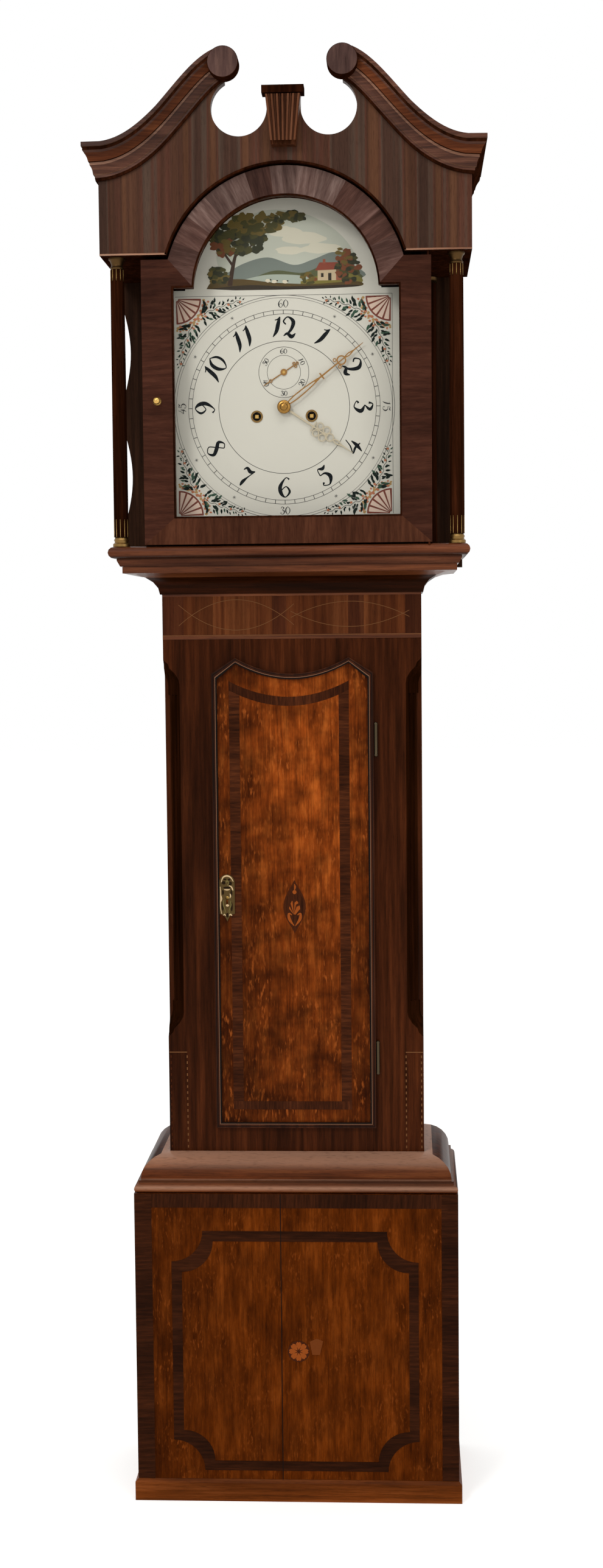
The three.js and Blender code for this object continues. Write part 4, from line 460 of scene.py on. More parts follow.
def blob(x, z, half_width, half_height, rough=0.2, count=14):
    """An uneven round patch."""
    return [
        (
            x + half_width * math.cos(TAU * i / count) * (1 + dice.uniform(-rough, rough)),
            z + half_height * math.sin(TAU * i / count) * (1 + dice.uniform(-rough, rough)),
        )
        for i in range(count)
    ]


def moved(points, x, z, angle=0.0, scale=1.0):
    """Points scaled, turned by an angle in degrees, and set down at (x, z)."""
    cosine, sine = math.cos(math.radians(angle)), math.sin(math.radians(angle))
    return [(x + scale * (px * cosine - pz * sine), z + scale * (px * sine + pz * cosine))
            for px, pz in points]


GRAIN_UP = 90.0


def area(points):
    return sum(x0 * z1 - x1 * z0 for (x0, z0), (x1, z1) in zip(points, points[1:] + points[:1])) / 2


def placed(name, body, mesh):
    """Puts a mesh in the scene and lets it ride on a body."""
    mesh.update()
    piece = bpy.data.objects.new(name, mesh)
    bpy.context.scene.collection.objects.link(piece)
    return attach(piece, body) if body else piece


def leaf(name, body, plane, shapes, depth=0.4, rise=0.0):
    """One thin piece on a front face at y = `plane`. A shape is (material, outline, holes, grain angle)."""
    vertices, faces, slots, uvs, materials = [], [], [], [], []
    for number, shape in enumerate(shapes):
        material, outer = shape[0], list(shape[1])
        holes = [list(hole) for hole in (shape[2] if len(shape) > 2 and shape[2] else [])]
        angle = math.radians(shape[3] if len(shape) > 3 else GRAIN_UP)
        if material not in materials:
            materials.append(material)
        if area(outer) < 0:
            outer.reverse()
        for hole in holes:
            if area(hole) > 0:
                hole.reverse()
        loops = [outer, *holes]
        front = plane - (depth + rise * number) * MM
        points = [point for loop in loops for point in loop]
        base = len(vertices)
        count = len(points)
        vertices += [(x * MM, front, z * MM) for x, z in points]
        vertices += [(x * MM, plane, z * MM) for x, z in points]
        shift = (dice.uniform(0, 9), dice.uniform(0, 9))

        def grained(index):
            x, z = points[index % count]
            along = (x * math.cos(angle) + z * math.sin(angle)) * MM
            across = (-x * math.sin(angle) + z * math.cos(angle)) * MM
            return (along + shift[0], across + shift[1])

        made = []
        for triangle in tessellate_polygon([[Vector((x, z, 0)) for x, z in loop] for loop in loops]):
            a, b, c = triangle
            if area([points[a], points[b], points[c]]) < 0:
                b, c = c, b
            made.append((a, b, c))
            made.append((a + count, c + count, b + count))
        first = 0
        for loop in loops:
            size = len(loop)
            for i in range(size):
                j = (i + 1) % size
                made.append((first + i, first + i + count, first + j + count, first + j))
            first += size
        for face in made:
            faces.append([base + index for index in face])
            slots.append(materials.index(material))
            uvs += [grained(index) for index in face]
    mesh = bpy.data.meshes.new(name)
    mesh.from_pydata(vertices, [], faces)
    for material in materials:
        mesh.materials.append(material)
    layer = mesh.uv_layers.new(name="grain")
    for loop, uv in zip(layer.data, uvs):
        loop.uv = uv
    for face, index in zip(mesh.polygons, slots):
        face.material_index = index
    return placed(name, body, mesh)


def solid(name, body, material, vertices, faces, slot=None, rounded=True):
    """A closed piece from points in metres."""
    mesh = bpy.data.meshes.new(name)
    mesh.from_pydata(vertices, [], faces)
    mesh.materials.append(material)
    for face in mesh.polygons:
        face.use_smooth = rounded
    return placed(name, body, mesh)


def box_middle(low, high):
    """The middle of a box in x, y and z, in metres."""
    return (low.x + high.x) / 2, (low.y + high.y) / 2, (low.z + high.z) / 2


def bands(rows, count):
    """Faces between closed rows of `count` points each."""
    faces = []
    for row in range(rows):
        for k in range(count):
            a, b = row * count + k, row * count + (k + 1) % count
            faces.append((a, b, b + count, a + count))
    return faces


def tube(path, radius, sides=8):
    """Vertices and faces of a round bar along points in metres."""
    vertices = []
    for i, point in enumerate(path):
        ahead = (path[min(i + 1, len(path) - 1)] - path[max(i - 1, 0)]).normalized()
        side = ahead.cross(Vector((0, 1, 0)))
        side = side.normalized() if side.length > 1e-6 else Vector((1, 0, 0))
        up = side.cross(ahead)
        for k in range(sides):
            turn = TAU * k / sides
            vertices.append(point + radius * (math.cos(turn) * side + math.sin(turn) * up))
    last = len(vertices) - sides
    return vertices, [*bands(len(path) - 1, sides), range(sides), range(last, last + sides)[::-1]]


# Hood: crossbanded door, radial banding round the arch, beads

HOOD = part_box("tympanum")[0].y
HOOD_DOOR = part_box("hood_door")[0].y
ARCH = 1876
ARCH_EDGE, ARCH_BEAD = 186, 189  # radii of the tympanum's arch and of the bead round it
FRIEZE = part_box("tympanum")[0].z / MM
FRIEZE_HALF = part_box("tympanum")[1].x / MM
ARCH_HALF = math.sqrt(ARCH_EDGE ** 2 - (FRIEZE - ARCH) ** 2)
arch_angle = math.degrees(math.asin((FRIEZE - ARCH) / ARCH_EDGE))

# Round the arch, a dark bead in painted shadow; along the frieze's lower edge, pale strips of painted
# highlight.
leaf("tympanum_bead", "hood", HOOD, [
    (mahogany_dark, sector(0, ARCH, ARCH_EDGE, ARCH_BEAD, arch_angle, 180 - arch_angle, 72)),
    (mahogany_painted_highlight, rectangle(ARCH_HALF, FRIEZE_HALF, FRIEZE, FRIEZE + 2.6)),
    (mahogany_painted_highlight, rectangle(-FRIEZE_HALF, -ARCH_HALF, FRIEZE, FRIEZE + 2.6)),
], depth=1.0)

# Swan necks: a moulding with fillets and hollows that sweeps up to a flat roundel

NECK_LOW, NECK_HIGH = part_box("swan_neck_right")
NECK_HALF = FRIEZE_HALF
NECK_OUT = NECK_HIGH.x / MM - NECK_HALF
NECK_HEIGHT, NECK_TAPER = 54, 0.2
NECK_RISE = 137  # from the moulding's middle at the corner up to the roundel's
NECK_STEPS = 26
ROUNDEL_RADIUS, ROUNDEL_EDGE, ROUNDEL_SIDES = 23.0, 0.8, 40
ROUNDEL_X, ROUNDEL_Z = 88.0, NECK_HIGH.z / MM - ROUNDEL_RADIUS
NECK_Z = ROUNDEL_Z - NECK_RISE
NECK_CURVE = ((0, 0), (0.46, 0.04), (0.7, 0.84), (0.97, 1.0))
# How far out and how high each edge of the moulding stands, and the wood of the face above it: the lighter
# fillets are painted highlight and the darker faces painted shade
NECK_PROFILE = (
    (0.02, -0.5, 1), (0.16, -0.5, 1), (0.2, -0.42, 0), (0.2, -0.35, 2), (0.3, -0.33, 0), (0.34, -0.22, 0),
    (0.42, -0.13, 0), (0.5, -0.09, 2), (0.5, -0.02, 1), (0.58, 0.0, 3), (0.64, 0.09, 3), (0.72, 0.16, 3),
    (0.82, 0.22, 0), (0.92, 0.28, 1), (0.92, 0.37, 2), (1.0, 0.38, 0), (1.0, 0.5, 1), (0.02, 0.5, 1),
)


def neck_point(t):
    weights = ((1 - t) ** 3, 3 * t * (1 - t) ** 2, 3 * t * t * (1 - t), t ** 3)
    run = sum(w * c[0] for w, c in zip(weights, NECK_CURVE))
    rise = sum(w * c[1] for w, c in zip(weights, NECK_CURVE))
    return NECK_HALF - run * (NECK_HALF - ROUNDEL_X), NECK_Z + rise * NECK_RISE


def swan_neck(word, side):
    front, back = HOOD / MM, NECK_HIGH.y / MM
    rings = [[(NECK_HALF + out * NECK_OUT, y - out * reach, NECK_Z + rise * NECK_HEIGHT)
              for out, rise, _ in NECK_PROFILE] for y, reach in ((back, 0), (front, NECK_OUT))]
    for i in range(1, NECK_STEPS + 1):
        t = i / NECK_STEPS
        x, z = neck_point(t)
        x0, z0 = neck_point(t - 0.01)
        x1, z1 = neck_point(min(t + 0.01, 1))
        length = math.hypot(x1 - x0, z1 - z0)
        across_x, across_z = (z1 - z0) / length, -(x1 - x0) / length
        height = NECK_HEIGHT * (1 - NECK_TAPER * min(1, 2 * t))
        rings.append([(x + across_x * rise * height, front - out * NECK_OUT, z + across_z * rise * height)
                      for out, rise, _ in NECK_PROFILE])
    count = len(NECK_PROFILE)
    vertices = [(side * x * MM, y * MM, z * MM) for loop in rings for x, y, z in loop]
    faces, woods = [], []

    def add(face, look):
        faces.append(face if side > 0 else face[::-1])
        woods.append(look)

    # the return at the corner takes the darker mahogany as painted shade
    for number, (a, b, c, d) in enumerate(bands(len(rings) - 1, count)):
        add((a, d, c, b), NECK_PROFILE[number % count][2] if number >= count else 1)
    base = len(vertices)
    add(range(count), 0)
    add(range(base - count, base)[::-1], 0)
    disc_front, disc_back = NECK_LOW.y / MM, front - 0.3
    for y, radius in ((disc_back, ROUNDEL_RADIUS), (disc_front + ROUNDEL_EDGE, ROUNDEL_RADIUS),
                      (disc_front, ROUNDEL_RADIUS - ROUNDEL_EDGE)):
        vertices += [(side * x * MM, y * MM, z * MM)
                     for x, z in ring(ROUNDEL_X, ROUNDEL_Z, radius, count=ROUNDEL_SIDES)]
    for face in bands(2, ROUNDEL_SIDES):
        add(tuple(base + index for index in face), 1)
    cap = base + 2 * ROUNDEL_SIDES
    add(range(cap, cap + ROUNDEL_SIDES), 4)
    add(range(base, base + ROUNDEL_SIDES)[::-1], 1)
    piece = solid(
        "swan_neck_moulding_" + word, "hood", mahogany_neck, vertices, faces, slot="mahogany", rounded=False,
    )
    for material in (mahogany_dark, neck_highlight, neck_warm, mahogany_round):
        piece.data.materials.append(material)
    for face, look in zip(piece.data.polygons, woods):
        face.material_index = look
    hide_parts("swan_neck_" + word)


swan_neck("left", -1)
swan_neck("right", 1)

OPEN_HALF, OPEN_LOW, OPEN_SHOULDER, OPEN_RADIUS = 169.5, 1541, 1882, 139
DOOR_HALF, DOOR_LOW, DOOR_TOP, DOOR_RADIUS = 217.5, 1499, 1924, 183
shoulder_angle = math.degrees(math.asin((OPEN_SHOULDER - ARCH) / OPEN_RADIUS))
top_angle = math.degrees(math.asin((DOOR_TOP - ARCH) / DOOR_RADIUS))
inner_half = OPEN_RADIUS * math.cos(math.radians(shoulder_angle))
outer_half = DOOR_RADIUS * math.cos(math.radians(top_angle))
VENEER_JOINT = 1716
banding = []
for side in (-1, 1):
    for tilt, outline in (
        (2.0, [(OPEN_HALF, OPEN_LOW), (DOOR_HALF, DOOR_LOW), (DOOR_HALF, VENEER_JOINT),
               (OPEN_HALF, VENEER_JOINT)]),
        (-2.0, [(OPEN_HALF, VENEER_JOINT), (DOOR_HALF, VENEER_JOINT), (DOOR_HALF, DOOR_TOP),
                (outer_half, DOOR_TOP), (inner_half, OPEN_SHOULDER), (OPEN_HALF, OPEN_SHOULDER)]),
    ):
        banding.append((veneer, [(side * x, z) for x, z in outline], None, tilt * side))
banding.append((veneer_low, [
    (-DOOR_HALF, DOOR_LOW), (DOOR_HALF, DOOR_LOW), (OPEN_HALF, OPEN_LOW), (-OPEN_HALF, OPEN_LOW),
], None, 90.0))
segment_edges = [shoulder_angle, 26, 39, 50, 60, 72, 84, 97, 109, 118, 131, 143, 156, 180 - shoulder_angle]
for start, end in zip(segment_edges, segment_edges[1:]):
    middle = (start + end) / 2
    outer_start = max(start, top_angle) if start < 90 else start
    outer_end = min(end, 180 - top_angle) if end > 90 else end
    shape = ring(0, ARCH, DOOR_RADIUS, outer_start, outer_end, 90)
    shape += ring(0, ARCH, OPEN_RADIUS, end, start, 90)
    banding.append((dice.choice(veneer_arch), shape, None, middle + dice.uniform(-5, 5)))
leaf("hood_door_veneer", "hood_door", HOOD_DOOR, banding, depth=0.5)


def arched(radius, half, shoulder, low):
    """An opening with shoulders and a round arch."""
    angle = math.degrees(math.asin((shoulder - ARCH) / radius))
    return [(-half, low), (half, low), (half, shoulder), *ring(0, ARCH, radius, angle, 180 - angle, 72),
            (-half, shoulder)]


def door_opening(inset):
    """The glazed opening's outline, drawn in by `inset`."""
    return arched(OPEN_RADIUS - inset, OPEN_HALF - inset, OPEN_SHOULDER - inset, OPEN_LOW + inset)


# A mask of the darker mahogany behind the glazed opening: it closes the gaps round the hood door and shows at
# the opening's edges as painted shade.
leaf("dial_mask", "hood", HOOD_DOOR + 28 * MM, [
    (mahogany_dark, arched(196, 216, 1896, 1498.5), [arched(141, 171.5, 1884, 1538.5)]),
], depth=4)

key_low, key_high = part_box("keystone")
key_front, key_foot, key_top = key_low.y, key_low.z / MM + 4, key_high.z / MM - 13
KEY_FLUTES, KEY_WIDE, KEY_NARROW = 13, 52, 37
# The flutes are flat strips: the wider lighter ones are painted highlight on the ridges, the narrower darker
# ones painted shade in the grooves.
flutes = []
for i in range(KEY_FLUTES):
    share = (i + 0.5) / KEY_FLUTES - 0.5
    half = 1.05 if i % 2 else 1.5
    top_x, low_x = share * KEY_WIDE, share * KEY_NARROW
    flutes.append((key_shade if i % 2 else key_highlight, [
        (top_x - half, key_top), (top_x + half, key_top), (low_x + half, key_foot), (low_x - half, key_foot),
    ]))
leaf("keystone_flutes", "hood", key_front, flutes, depth=0.3, rise=0.01)

leaf("hood_door_bead", "hood_door", HOOD_DOOR, [
    (mahogany_dark, door_opening(-2.5), [door_opening(0)]),
], depth=1.1)

# Columns: fluted shafts that taper upwards, and brass reeds in the ends of their flutes

FLUTES = 10
SHAFT_SIDES = 120
SHAFT_ROWS = 8
SHAFT_RADIUS, SHAFT_TAPER, FLUTE_DEPTH = 11.0, 0.7, 0.8
REED_RADIUS = 0.8 * MM


def fluted(low, high):
    """Vertices and faces of a fluted shaft on the axis of a box, in metres."""
    vertices = []
    axis_x, axis_y, _ = box_middle(low, high)
    for row in range(SHAFT_ROWS + 1):
        share = row / SHAFT_ROWS
        for side in range(SHAFT_SIDES):
            angle = TAU * side / SHAFT_SIDES
            hollow = max(0.0, -math.cos(FLUTES * angle))
            radius = (SHAFT_RADIUS - SHAFT_TAPER * share ** 2 - FLUTE_DEPTH * hollow) * MM
            vertices.append((axis_x + radius * math.cos(angle), axis_y + radius * math.sin(angle),
                             low.z + share * (high.z - low.z)))
    last = SHAFT_ROWS * SHAFT_SIDES
    caps = [range(SHAFT_SIDES)[::-1], range(last, last + SHAFT_SIDES)]
    return vertices, bands(SHAFT_ROWS, SHAFT_SIDES) + caps


for word in ("left", "right"):
    low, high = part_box("column_" + word)
    shaft = solid("column_shaft_" + word, "hood", mahogany_dark, *fluted(low, high), slot="mahogany")
    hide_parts("column_" + word)
    axis_x, axis_y, _ = box_middle(low, high)
    vertices, faces = [], []
    for k in range(FLUTES):
        angle = TAU * (k + 0.5) / FLUTES
        for z0, z1, radius in ((low.z, low.z + 27 * MM, 10.5 * MM), (high.z - 17 * MM, high.z, 9.8 * MM)):
            x, y = axis_x + radius * math.cos(angle), axis_y + radius * math.sin(angle)
            points, sides = tube([Vector((x, y, z0)), Vector((x, y, z1))], REED_RADIUS, 6)
            faces += [[index + len(vertices) for index in face] for face in sides]
            vertices += points
    solid("column_reeds_" + word, "hood", brass_old, vertices, faces, slot="brass")

# The backboard's left ear, which shows past the hood's side, and the rear columns' brass ends

EAR_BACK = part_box("backboard")[1].y
EAR_LOW, EAR_TOP = 1470, 1952
EAR_ROOT, EAR_JOINT, EAR_OUT = 243.0, 265.0, 281.0
SCALLOP_HALF, SCALLOP_DEPTH, SCALLOP_STEPS = 84, 15, 16
ear = [(EAR_JOINT, EAR_LOW), (EAR_OUT, EAR_LOW), (EAR_OUT, 1524)]
for scallop_z in (1619, 1819):
    for i in range(SCALLOP_STEPS + 1):
        share = i / SCALLOP_STEPS
        depth = SCALLOP_DEPTH * math.sin(math.pi * share)
        ear.append((EAR_OUT - depth, scallop_z + SCALLOP_HALF * (2 * share - 1)))
ear += [(EAR_OUT, EAR_TOP), (EAR_JOINT, EAR_TOP), (EAR_ROOT, EAR_TOP), (EAR_ROOT, EAR_LOW)]
leaf("ear_left", "case", EAR_BACK, [(pine_stained, [(-x, z) for x, z in ear])], depth=13.6)

REAR_COLUMN_X, REAR_COLUMN_Y, REAR_END_RADIUS = 217.5 * MM, 117.55 * MM, 12.4 * MM
# The rear columns' brass ends are in the dark brass as painted shade.
for side, word in ((-1, "left"), (1, "right")):
    for end, z0, z1 in (("base", 1498, 1507), ("capital", 1919, 1928)):
        path = [Vector((side * REAR_COLUMN_X, REAR_COLUMN_Y, z * MM)) for z in (z0, z1)]
        solid("rear_" + end + "_" + word, "hood", brass_dark, *tube(path, REAR_END_RADIUS, 16), slot="brass")

# Trunk: frieze veneer and stringing, inlaid lower corners

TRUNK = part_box("trunk_stile_left")[0].y
TRUNK_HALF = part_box("trunk_stile_right")[1].x / MM
FRIEZE_LOW, FRIEZE_HIGH = 1362, 1425
edges = [-TRUNK_HALF, -168, -150, -122, -104, -78, -52, -30, -8, 14, 30, 46, 62, 88, 112, 138, 152, 176,
         TRUNK_HALF]
leaf("frieze_veneer", "case", TRUNK, [
    (dice.choice(veneer_frieze), rectangle(a, b, FRIEZE_LOW, FRIEZE_HIGH), None, 90 + dice.uniform(-1.5, 1.5))
    for a, b in zip(edges, edges[1:])
], depth=0.5)
leaf("frieze_beads", "case", TRUNK, [
    (mahogany_level, rectangle(-TRUNK_HALF, TRUNK_HALF, FRIEZE_LOW - 7, FRIEZE_LOW)),
    (inlay_pale, rectangle(-TRUNK_HALF, TRUNK_HALF, FRIEZE_LOW - 1.6, FRIEZE_LOW - 0.6)),
    (mahogany_level, rectangle(-TRUNK_HALF, TRUNK_HALF, FRIEZE_HIGH - 3.5, FRIEZE_HIGH)),
], depth=0.8, rise=0.1)


ARC_STEPS = 28


def crossing_arcs(middle, top, low, half, tail):
    """Two crossing arcs that make a pointed oval and run on into tails."""
    shapes = []
    centre = (top + low) / 2
    for sign in (1, -1):
        peak = (top - low) / 2
        points = []
        for i in range(ARC_STEPS + 1):
            share = (2 * i / ARC_STEPS - 1) * (1 + tail)
            points.append((middle + share * half, centre + sign * peak * (1 - share * share)))
        shapes.append(ribbon(points, 0.9))
    return shapes


strings = crossing_arcs(-86, 1416, 1369, 69, 0.3) + crossing_arcs(90.5, 1412, 1373, 82, 0.12)
leaf("frieze_stringing", "case", TRUNK, [(inlay_pale, shape) for shape in strings], depth=0.62, rise=0.01)

LINE_LOW, LINE_HIGH = 704.5, 706
DASHES, DASH_LOW, DASH_PITCH, DASH_LENGTH, DASH_HALF = 16, 552, 9.6, 4.2, 0.9
stringing = [(inlay_pale, rectangle(x0, x1, LINE_LOW, LINE_HIGH))
             for x0, x1 in ((-TRUNK_HALF + 1, -172), (173, TRUNK_HALF - 1))]
for x, look in ((-197.5, inlay_brown), (-172, inlay_pale), (173.5, inlay_pale), (197.5, inlay_pale)):
    for i in range(DASHES):
        z = DASH_LOW + i * DASH_PITCH
        stringing.append((look, rectangle(x - DASH_HALF, x + DASH_HALF, z, z + DASH_LENGTH)))
leaf("corner_stringing", "case", TRUNK, stringing, depth=0.3)

# Trunk door: dark crossbanding and a shell in a pointed oval, on the sunk field

def sagging(x, drop):
    """The dip of the door's top, followed at a distance below it."""
    return 1265 - drop + 24 * ((x + 5) / 92) ** 2


BAND_LEFT, BAND_RIGHT, BAND_LOW = (-98.7, -82.5), (72, 88), 615
BAND_WIDTH, BAND_STEPS = 13, 16
BAND_START = BAND_LOW + BAND_WIDTH
band_x = [BAND_LEFT[0] + (BAND_RIGHT[1] - BAND_LEFT[0]) * i / BAND_STEPS for i in range(BAND_STEPS + 1)]
band_top = [(x, sagging(x, 0)) for x in band_x] + [(x, sagging(x, BAND_WIDTH + 1)) for x in reversed(band_x)]
door_band = [
    (veneer_dark, rectangle(*BAND_LEFT, BAND_START, sagging(BAND_LEFT[0], BAND_WIDTH)), None, 0.0),
    (veneer_dark, rectangle(*BAND_RIGHT, BAND_START, sagging(BAND_RIGHT[1], BAND_WIDTH)), None, 0.0),
    (veneer_dark, rectangle(BAND_LEFT[0], BAND_RIGHT[1], BAND_LOW, BAND_START), None, 90.0),
    (veneer_dark, band_top, None, 90.0),
]
leaf("trunk_door_banding", "trunk_door", FIELD, door_band, depth=0.2, rise=0.005)

SHELL_X, SHELL_Z = 0.6, 936.8
SHELL_RAYS = 7


def pointed_oval(x, z, half_width, half_height, count=20):
    right = []
    for i in range(count + 1):
        bulge = math.cos(math.pi * (i / count - 0.5)) ** 1.15
        right.append((x + half_width * bulge, z + half_height * (2 * i / count - 1)))
    left = [(2 * x - px, pz) for px, pz in reversed(right[1:-1])]
    return right + left


shell = [(inlay_brown, pointed_oval(SHELL_X, SHELL_Z, 17.5, 42)),
         (veneer_dark, pointed_oval(SHELL_X, SHELL_Z, 15.5, 38))]
for i in range(SHELL_RAYS):
    lower = abs(i - SHELL_RAYS // 2) * 3
    ray = [(-1.2, 0), (-3.2, 21 - lower), (0, 25 - lower), (3.2, 21 - lower), (1.2, 0)]
    shell.append((inlay_brown if i % 2 else inlay_orange,
                  moved(ray, SHELL_X, SHELL_Z - 12, -(-54 + 18 * i) * 0.55)))
for side in (-1, 1):
    hook = [(side * 1, -30, 1), (side * 8, -20, 4.5), (side * 9, -11, 3), (side * 4, -13, 1)]
    shell.append((inlay_orange, stroke([(SHELL_X + x, SHELL_Z + z, width) for x, z, width in hook])))
shell.append((inlay_orange, ring(SHELL_X, SHELL_Z + 23, 3.2, count=12)))
shell.append((inlay_orange, stroke([(SHELL_X, SHELL_Z + 26, 1), (SHELL_X + 1, SHELL_Z + 31, 3),
                                    (SHELL_X, SHELL_Z + 36, 0.5)])))
leaf("trunk_door_shell", "trunk_door", FIELD, shell, depth=0.14, rise=0.012)

# Escutcheon: pierced scrolls, drawn round the middle of the plate

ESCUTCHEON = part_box("trunk_escutcheon")[0].y
plate_x, _, plate_z = (value / MM for value in box_middle(*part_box("trunk_escutcheon")))
hollow = plain("escutcheon_hollow", (34, 22, 10), 0.7, 0.05)
bright = metal("escutcheon_edge", (200, 172, 132), 0.35)
olive = metal("escutcheon_olive", (104, 92, 54), 0.4)
scrolls = []
for x, z, half_width, half_height in (
    (-5, 24, 3.2, 2.6), (5, 23, 3, 3), (0, 16.5, 6, 1.5), (-6.5, 9, 1.6, 4), (6.8, 8, 1.5, 5),
    (-7, -13, 1.5, 7), (7, -14, 1.6, 7), (0, -27, 2, 3.4), (-3, 29.5, 2.4, 1.4), (3.4, 29, 2, 1.5),
):
    scrolls.append((hollow, blob(plate_x + x, plate_z + z, half_width, half_height, 0.12, 12)))
for material, *points in (
    (bright, (-9, 25, 0.8), (-6, 32.5, 1.8), (0, 35, 2.4), (6, 32.5, 1.8), (10, 26, 0.8)),
    (bright, (-4.5, 13.5, 0.8), (0, 13, 2.2), (4.5, 13.5, 0.8)),
    (olive, (-2, 24, 1), (0.5, 27, 2.6), (3, 24, 1.2), (0.5, 20, 2)),
    (bright, (3, 19.5, 1), (7, 17.5, 2), (9.5, 12, 1.4)),
    (bright, (-10, 6, 0.8), (-8.5, -1, 1.6), (-10, -6, 0.8)),
    (bright, (4.5, 0, 1), (5.5, 4, 2), (4.5, 7, 0.8)),
    (bright, (-10.5, 18, 0.8), (-10, 8, 1.2), (-10.5, -14, 0.9), (-8.5, -25, 0.8)),
    (olive, (-5, -3, 1), (-6, -10, 1.8), (-3, -20, 1.4), (-5, -25, 1)),
    (olive, (5, -4, 1), (6, -11, 1.8), (3, -20, 1.4), (5, -25, 1)),
    (bright, (2.5, -27, 0.8), (5.5, -26, 2.2), (7.5, -28, 0.8)),
    (bright, (-6.5, -27, 0.8), (-4, -26, 1.8), (-2.5, -28, 0.6)),
):
    scrolls.append((material, moved(stroke(points), plate_x, plate_z)))
scrolls.append((bright, blob(plate_x + 0.5, plate_z - 11.5, 2.6, 1.8, 0.05, 12)))
leaf("escutcheon_scrolls", "trunk_door", ESCUTCHEON, scrolls, depth=0.3, rise=0.01)

# Lines on the trunk door's bead: a pale painted highlight along it, and dark painted shadow inside it and
# near the door's edge

DOOR_FOOT, DOOR_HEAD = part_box("trunk_door")
DOOR_LIP = DOOR_FOOT.y
TRUNK_DOOR_LOW, DOOR_PEAK, DOOR_SIDE = DOOR_FOOT.z / MM, DOOR_HEAD.z / MM, DOOR_HEAD.x / MM
PEAK_X = DOOR_SIDE - 38
SHOULDER = DOOR_PEAK - 24
DIP_STEPS = 16


def door_edge(inset):
    """The line round the door, drawn in by `inset`."""
    peak, dip = DOOR_PEAK - inset, SHOULDER - 1 - inset
    top = []
    for i in range(DIP_STEPS + 1):
        t = i / DIP_STEPS
        height = (1 - t) ** 2 * peak + 2 * t * (1 - t) * (2 * dip - peak) + t * t * peak
        top.append((PEAK_X * (1 - 2 * t), height))
    return [(-DOOR_SIDE + inset, TRUNK_DOOR_LOW + inset), (DOOR_SIDE - inset, TRUNK_DOOR_LOW + inset),
            (DOOR_SIDE - inset, SHOULDER - inset), *top, (-DOOR_SIDE + inset, SHOULDER - inset)]


leaf("trunk_door_lines", "trunk_door", DOOR_LIP, [
    (bead_painted_highlight, door_edge(5.6), [door_edge(6.6)]),
    (joint_and_shadow_line, door_edge(6.6), [door_edge(9.0)]),
    (joint_and_shadow_line, door_edge(2.0), [door_edge(2.9)]),
], depth=0.25, rise=0.02)


# Base: dark border, band with re-entrant corners, patera, joint

BASE_FOOT, BASE_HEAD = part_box("base_front")
BASE, BASE_HALF, BASE_LOW, BASE_HIGH = BASE_FOOT.y, BASE_HEAD.x / MM, BASE_FOOT.z / MM, BASE_HEAD.z / MM
BORDER_LEFT, BORDER_RIGHT = -226, 227
BAND_CORNER = 49
PATERA_X, PATERA_Z = 2.7, 241.3
PETALS = 8


def reentrant(x0, x1, z0, z1, radius):
    """A rectangle with hollow quarter-round corners."""
    points = []
    for x, z, start in ((x1, z0, 180), (x1, z1, 270), (x0, z1, 0), (x0, z0, 90)):
        points += ring(x, z, radius, start, start - 90, 40)
    return points


base_inlay = [
    (veneer_border, rectangle(-BASE_HALF, BORDER_LEFT, BASE_LOW, BASE_HIGH), None, 2.0),
    (veneer_border, rectangle(BORDER_RIGHT, BASE_HALF, BASE_LOW, BASE_HIGH), None, 0.0),
    (veneer_border, rectangle(BORDER_LEFT, BORDER_RIGHT, 470, BASE_HIGH), None, 88.0),
    (veneer_border, reentrant(-195.5, 191, 48.5, 433, BAND_CORNER),
     [reentrant(-179.5, 176, 64, 416.5, BAND_CORNER)], 0.0),
]
leaf("base_banding", "case", BASE, base_inlay, depth=0.4)
leaf("base_joint", "case", BASE, [(joint_and_shadow_line, rectangle(-24.4, -23.2, BASE_LOW, BASE_HIGH))], depth=0.42)

patera = [(inlay_brown, ring(PATERA_X, PATERA_Z, 17, count=28))]
petal = [(0, 2.2), (-3.4, 8), (-4.3, 12), (-2.2, 15.3), (0, 14.2), (2.2, 15.3), (4.3, 12), (3.4, 8)]
for i in range(PETALS):
    patera.append((inlay_orange, moved(petal, PATERA_X, PATERA_Z, 360 / PETALS * i)))
patera.append((inlay_brown, ring(PATERA_X, PATERA_Z, 2.6, count=12)))
patera.append((inlay_faint, [(24, 236), (36, 236), (41, 258), (31, 262), (20, 257)]))
leaf("base_patera", "case", BASE, patera, depth=0.42, rise=0.012)

# Dial

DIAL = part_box("dial")[0].y
CX, CZ = -7.0, 1708.0
SECONDS_Z = 1761.0
ink, ink_grey, ink_thin, pink, russet, orange, gold, leaf_dark, leaf_green = (
    plain("dial_" + word, colour, 0.5, specular) for word, colour, specular in (
        ("ink", (20, 24, 26), 0.05), ("ink_grey", (66, 66, 64), 0.1), ("ink_thin", (84, 82, 78), 0.1),
        ("pink", (236, 208, 186), 0.1), ("russet", (132, 72, 58), 0.1), ("orange", (190, 122, 88), 0.1),
        ("gold", (186, 150, 96), 0.1), ("leaf_dark", (24, 34, 28), 0.05), ("leaf_green", (58, 84, 66), 0.1),
    )
)

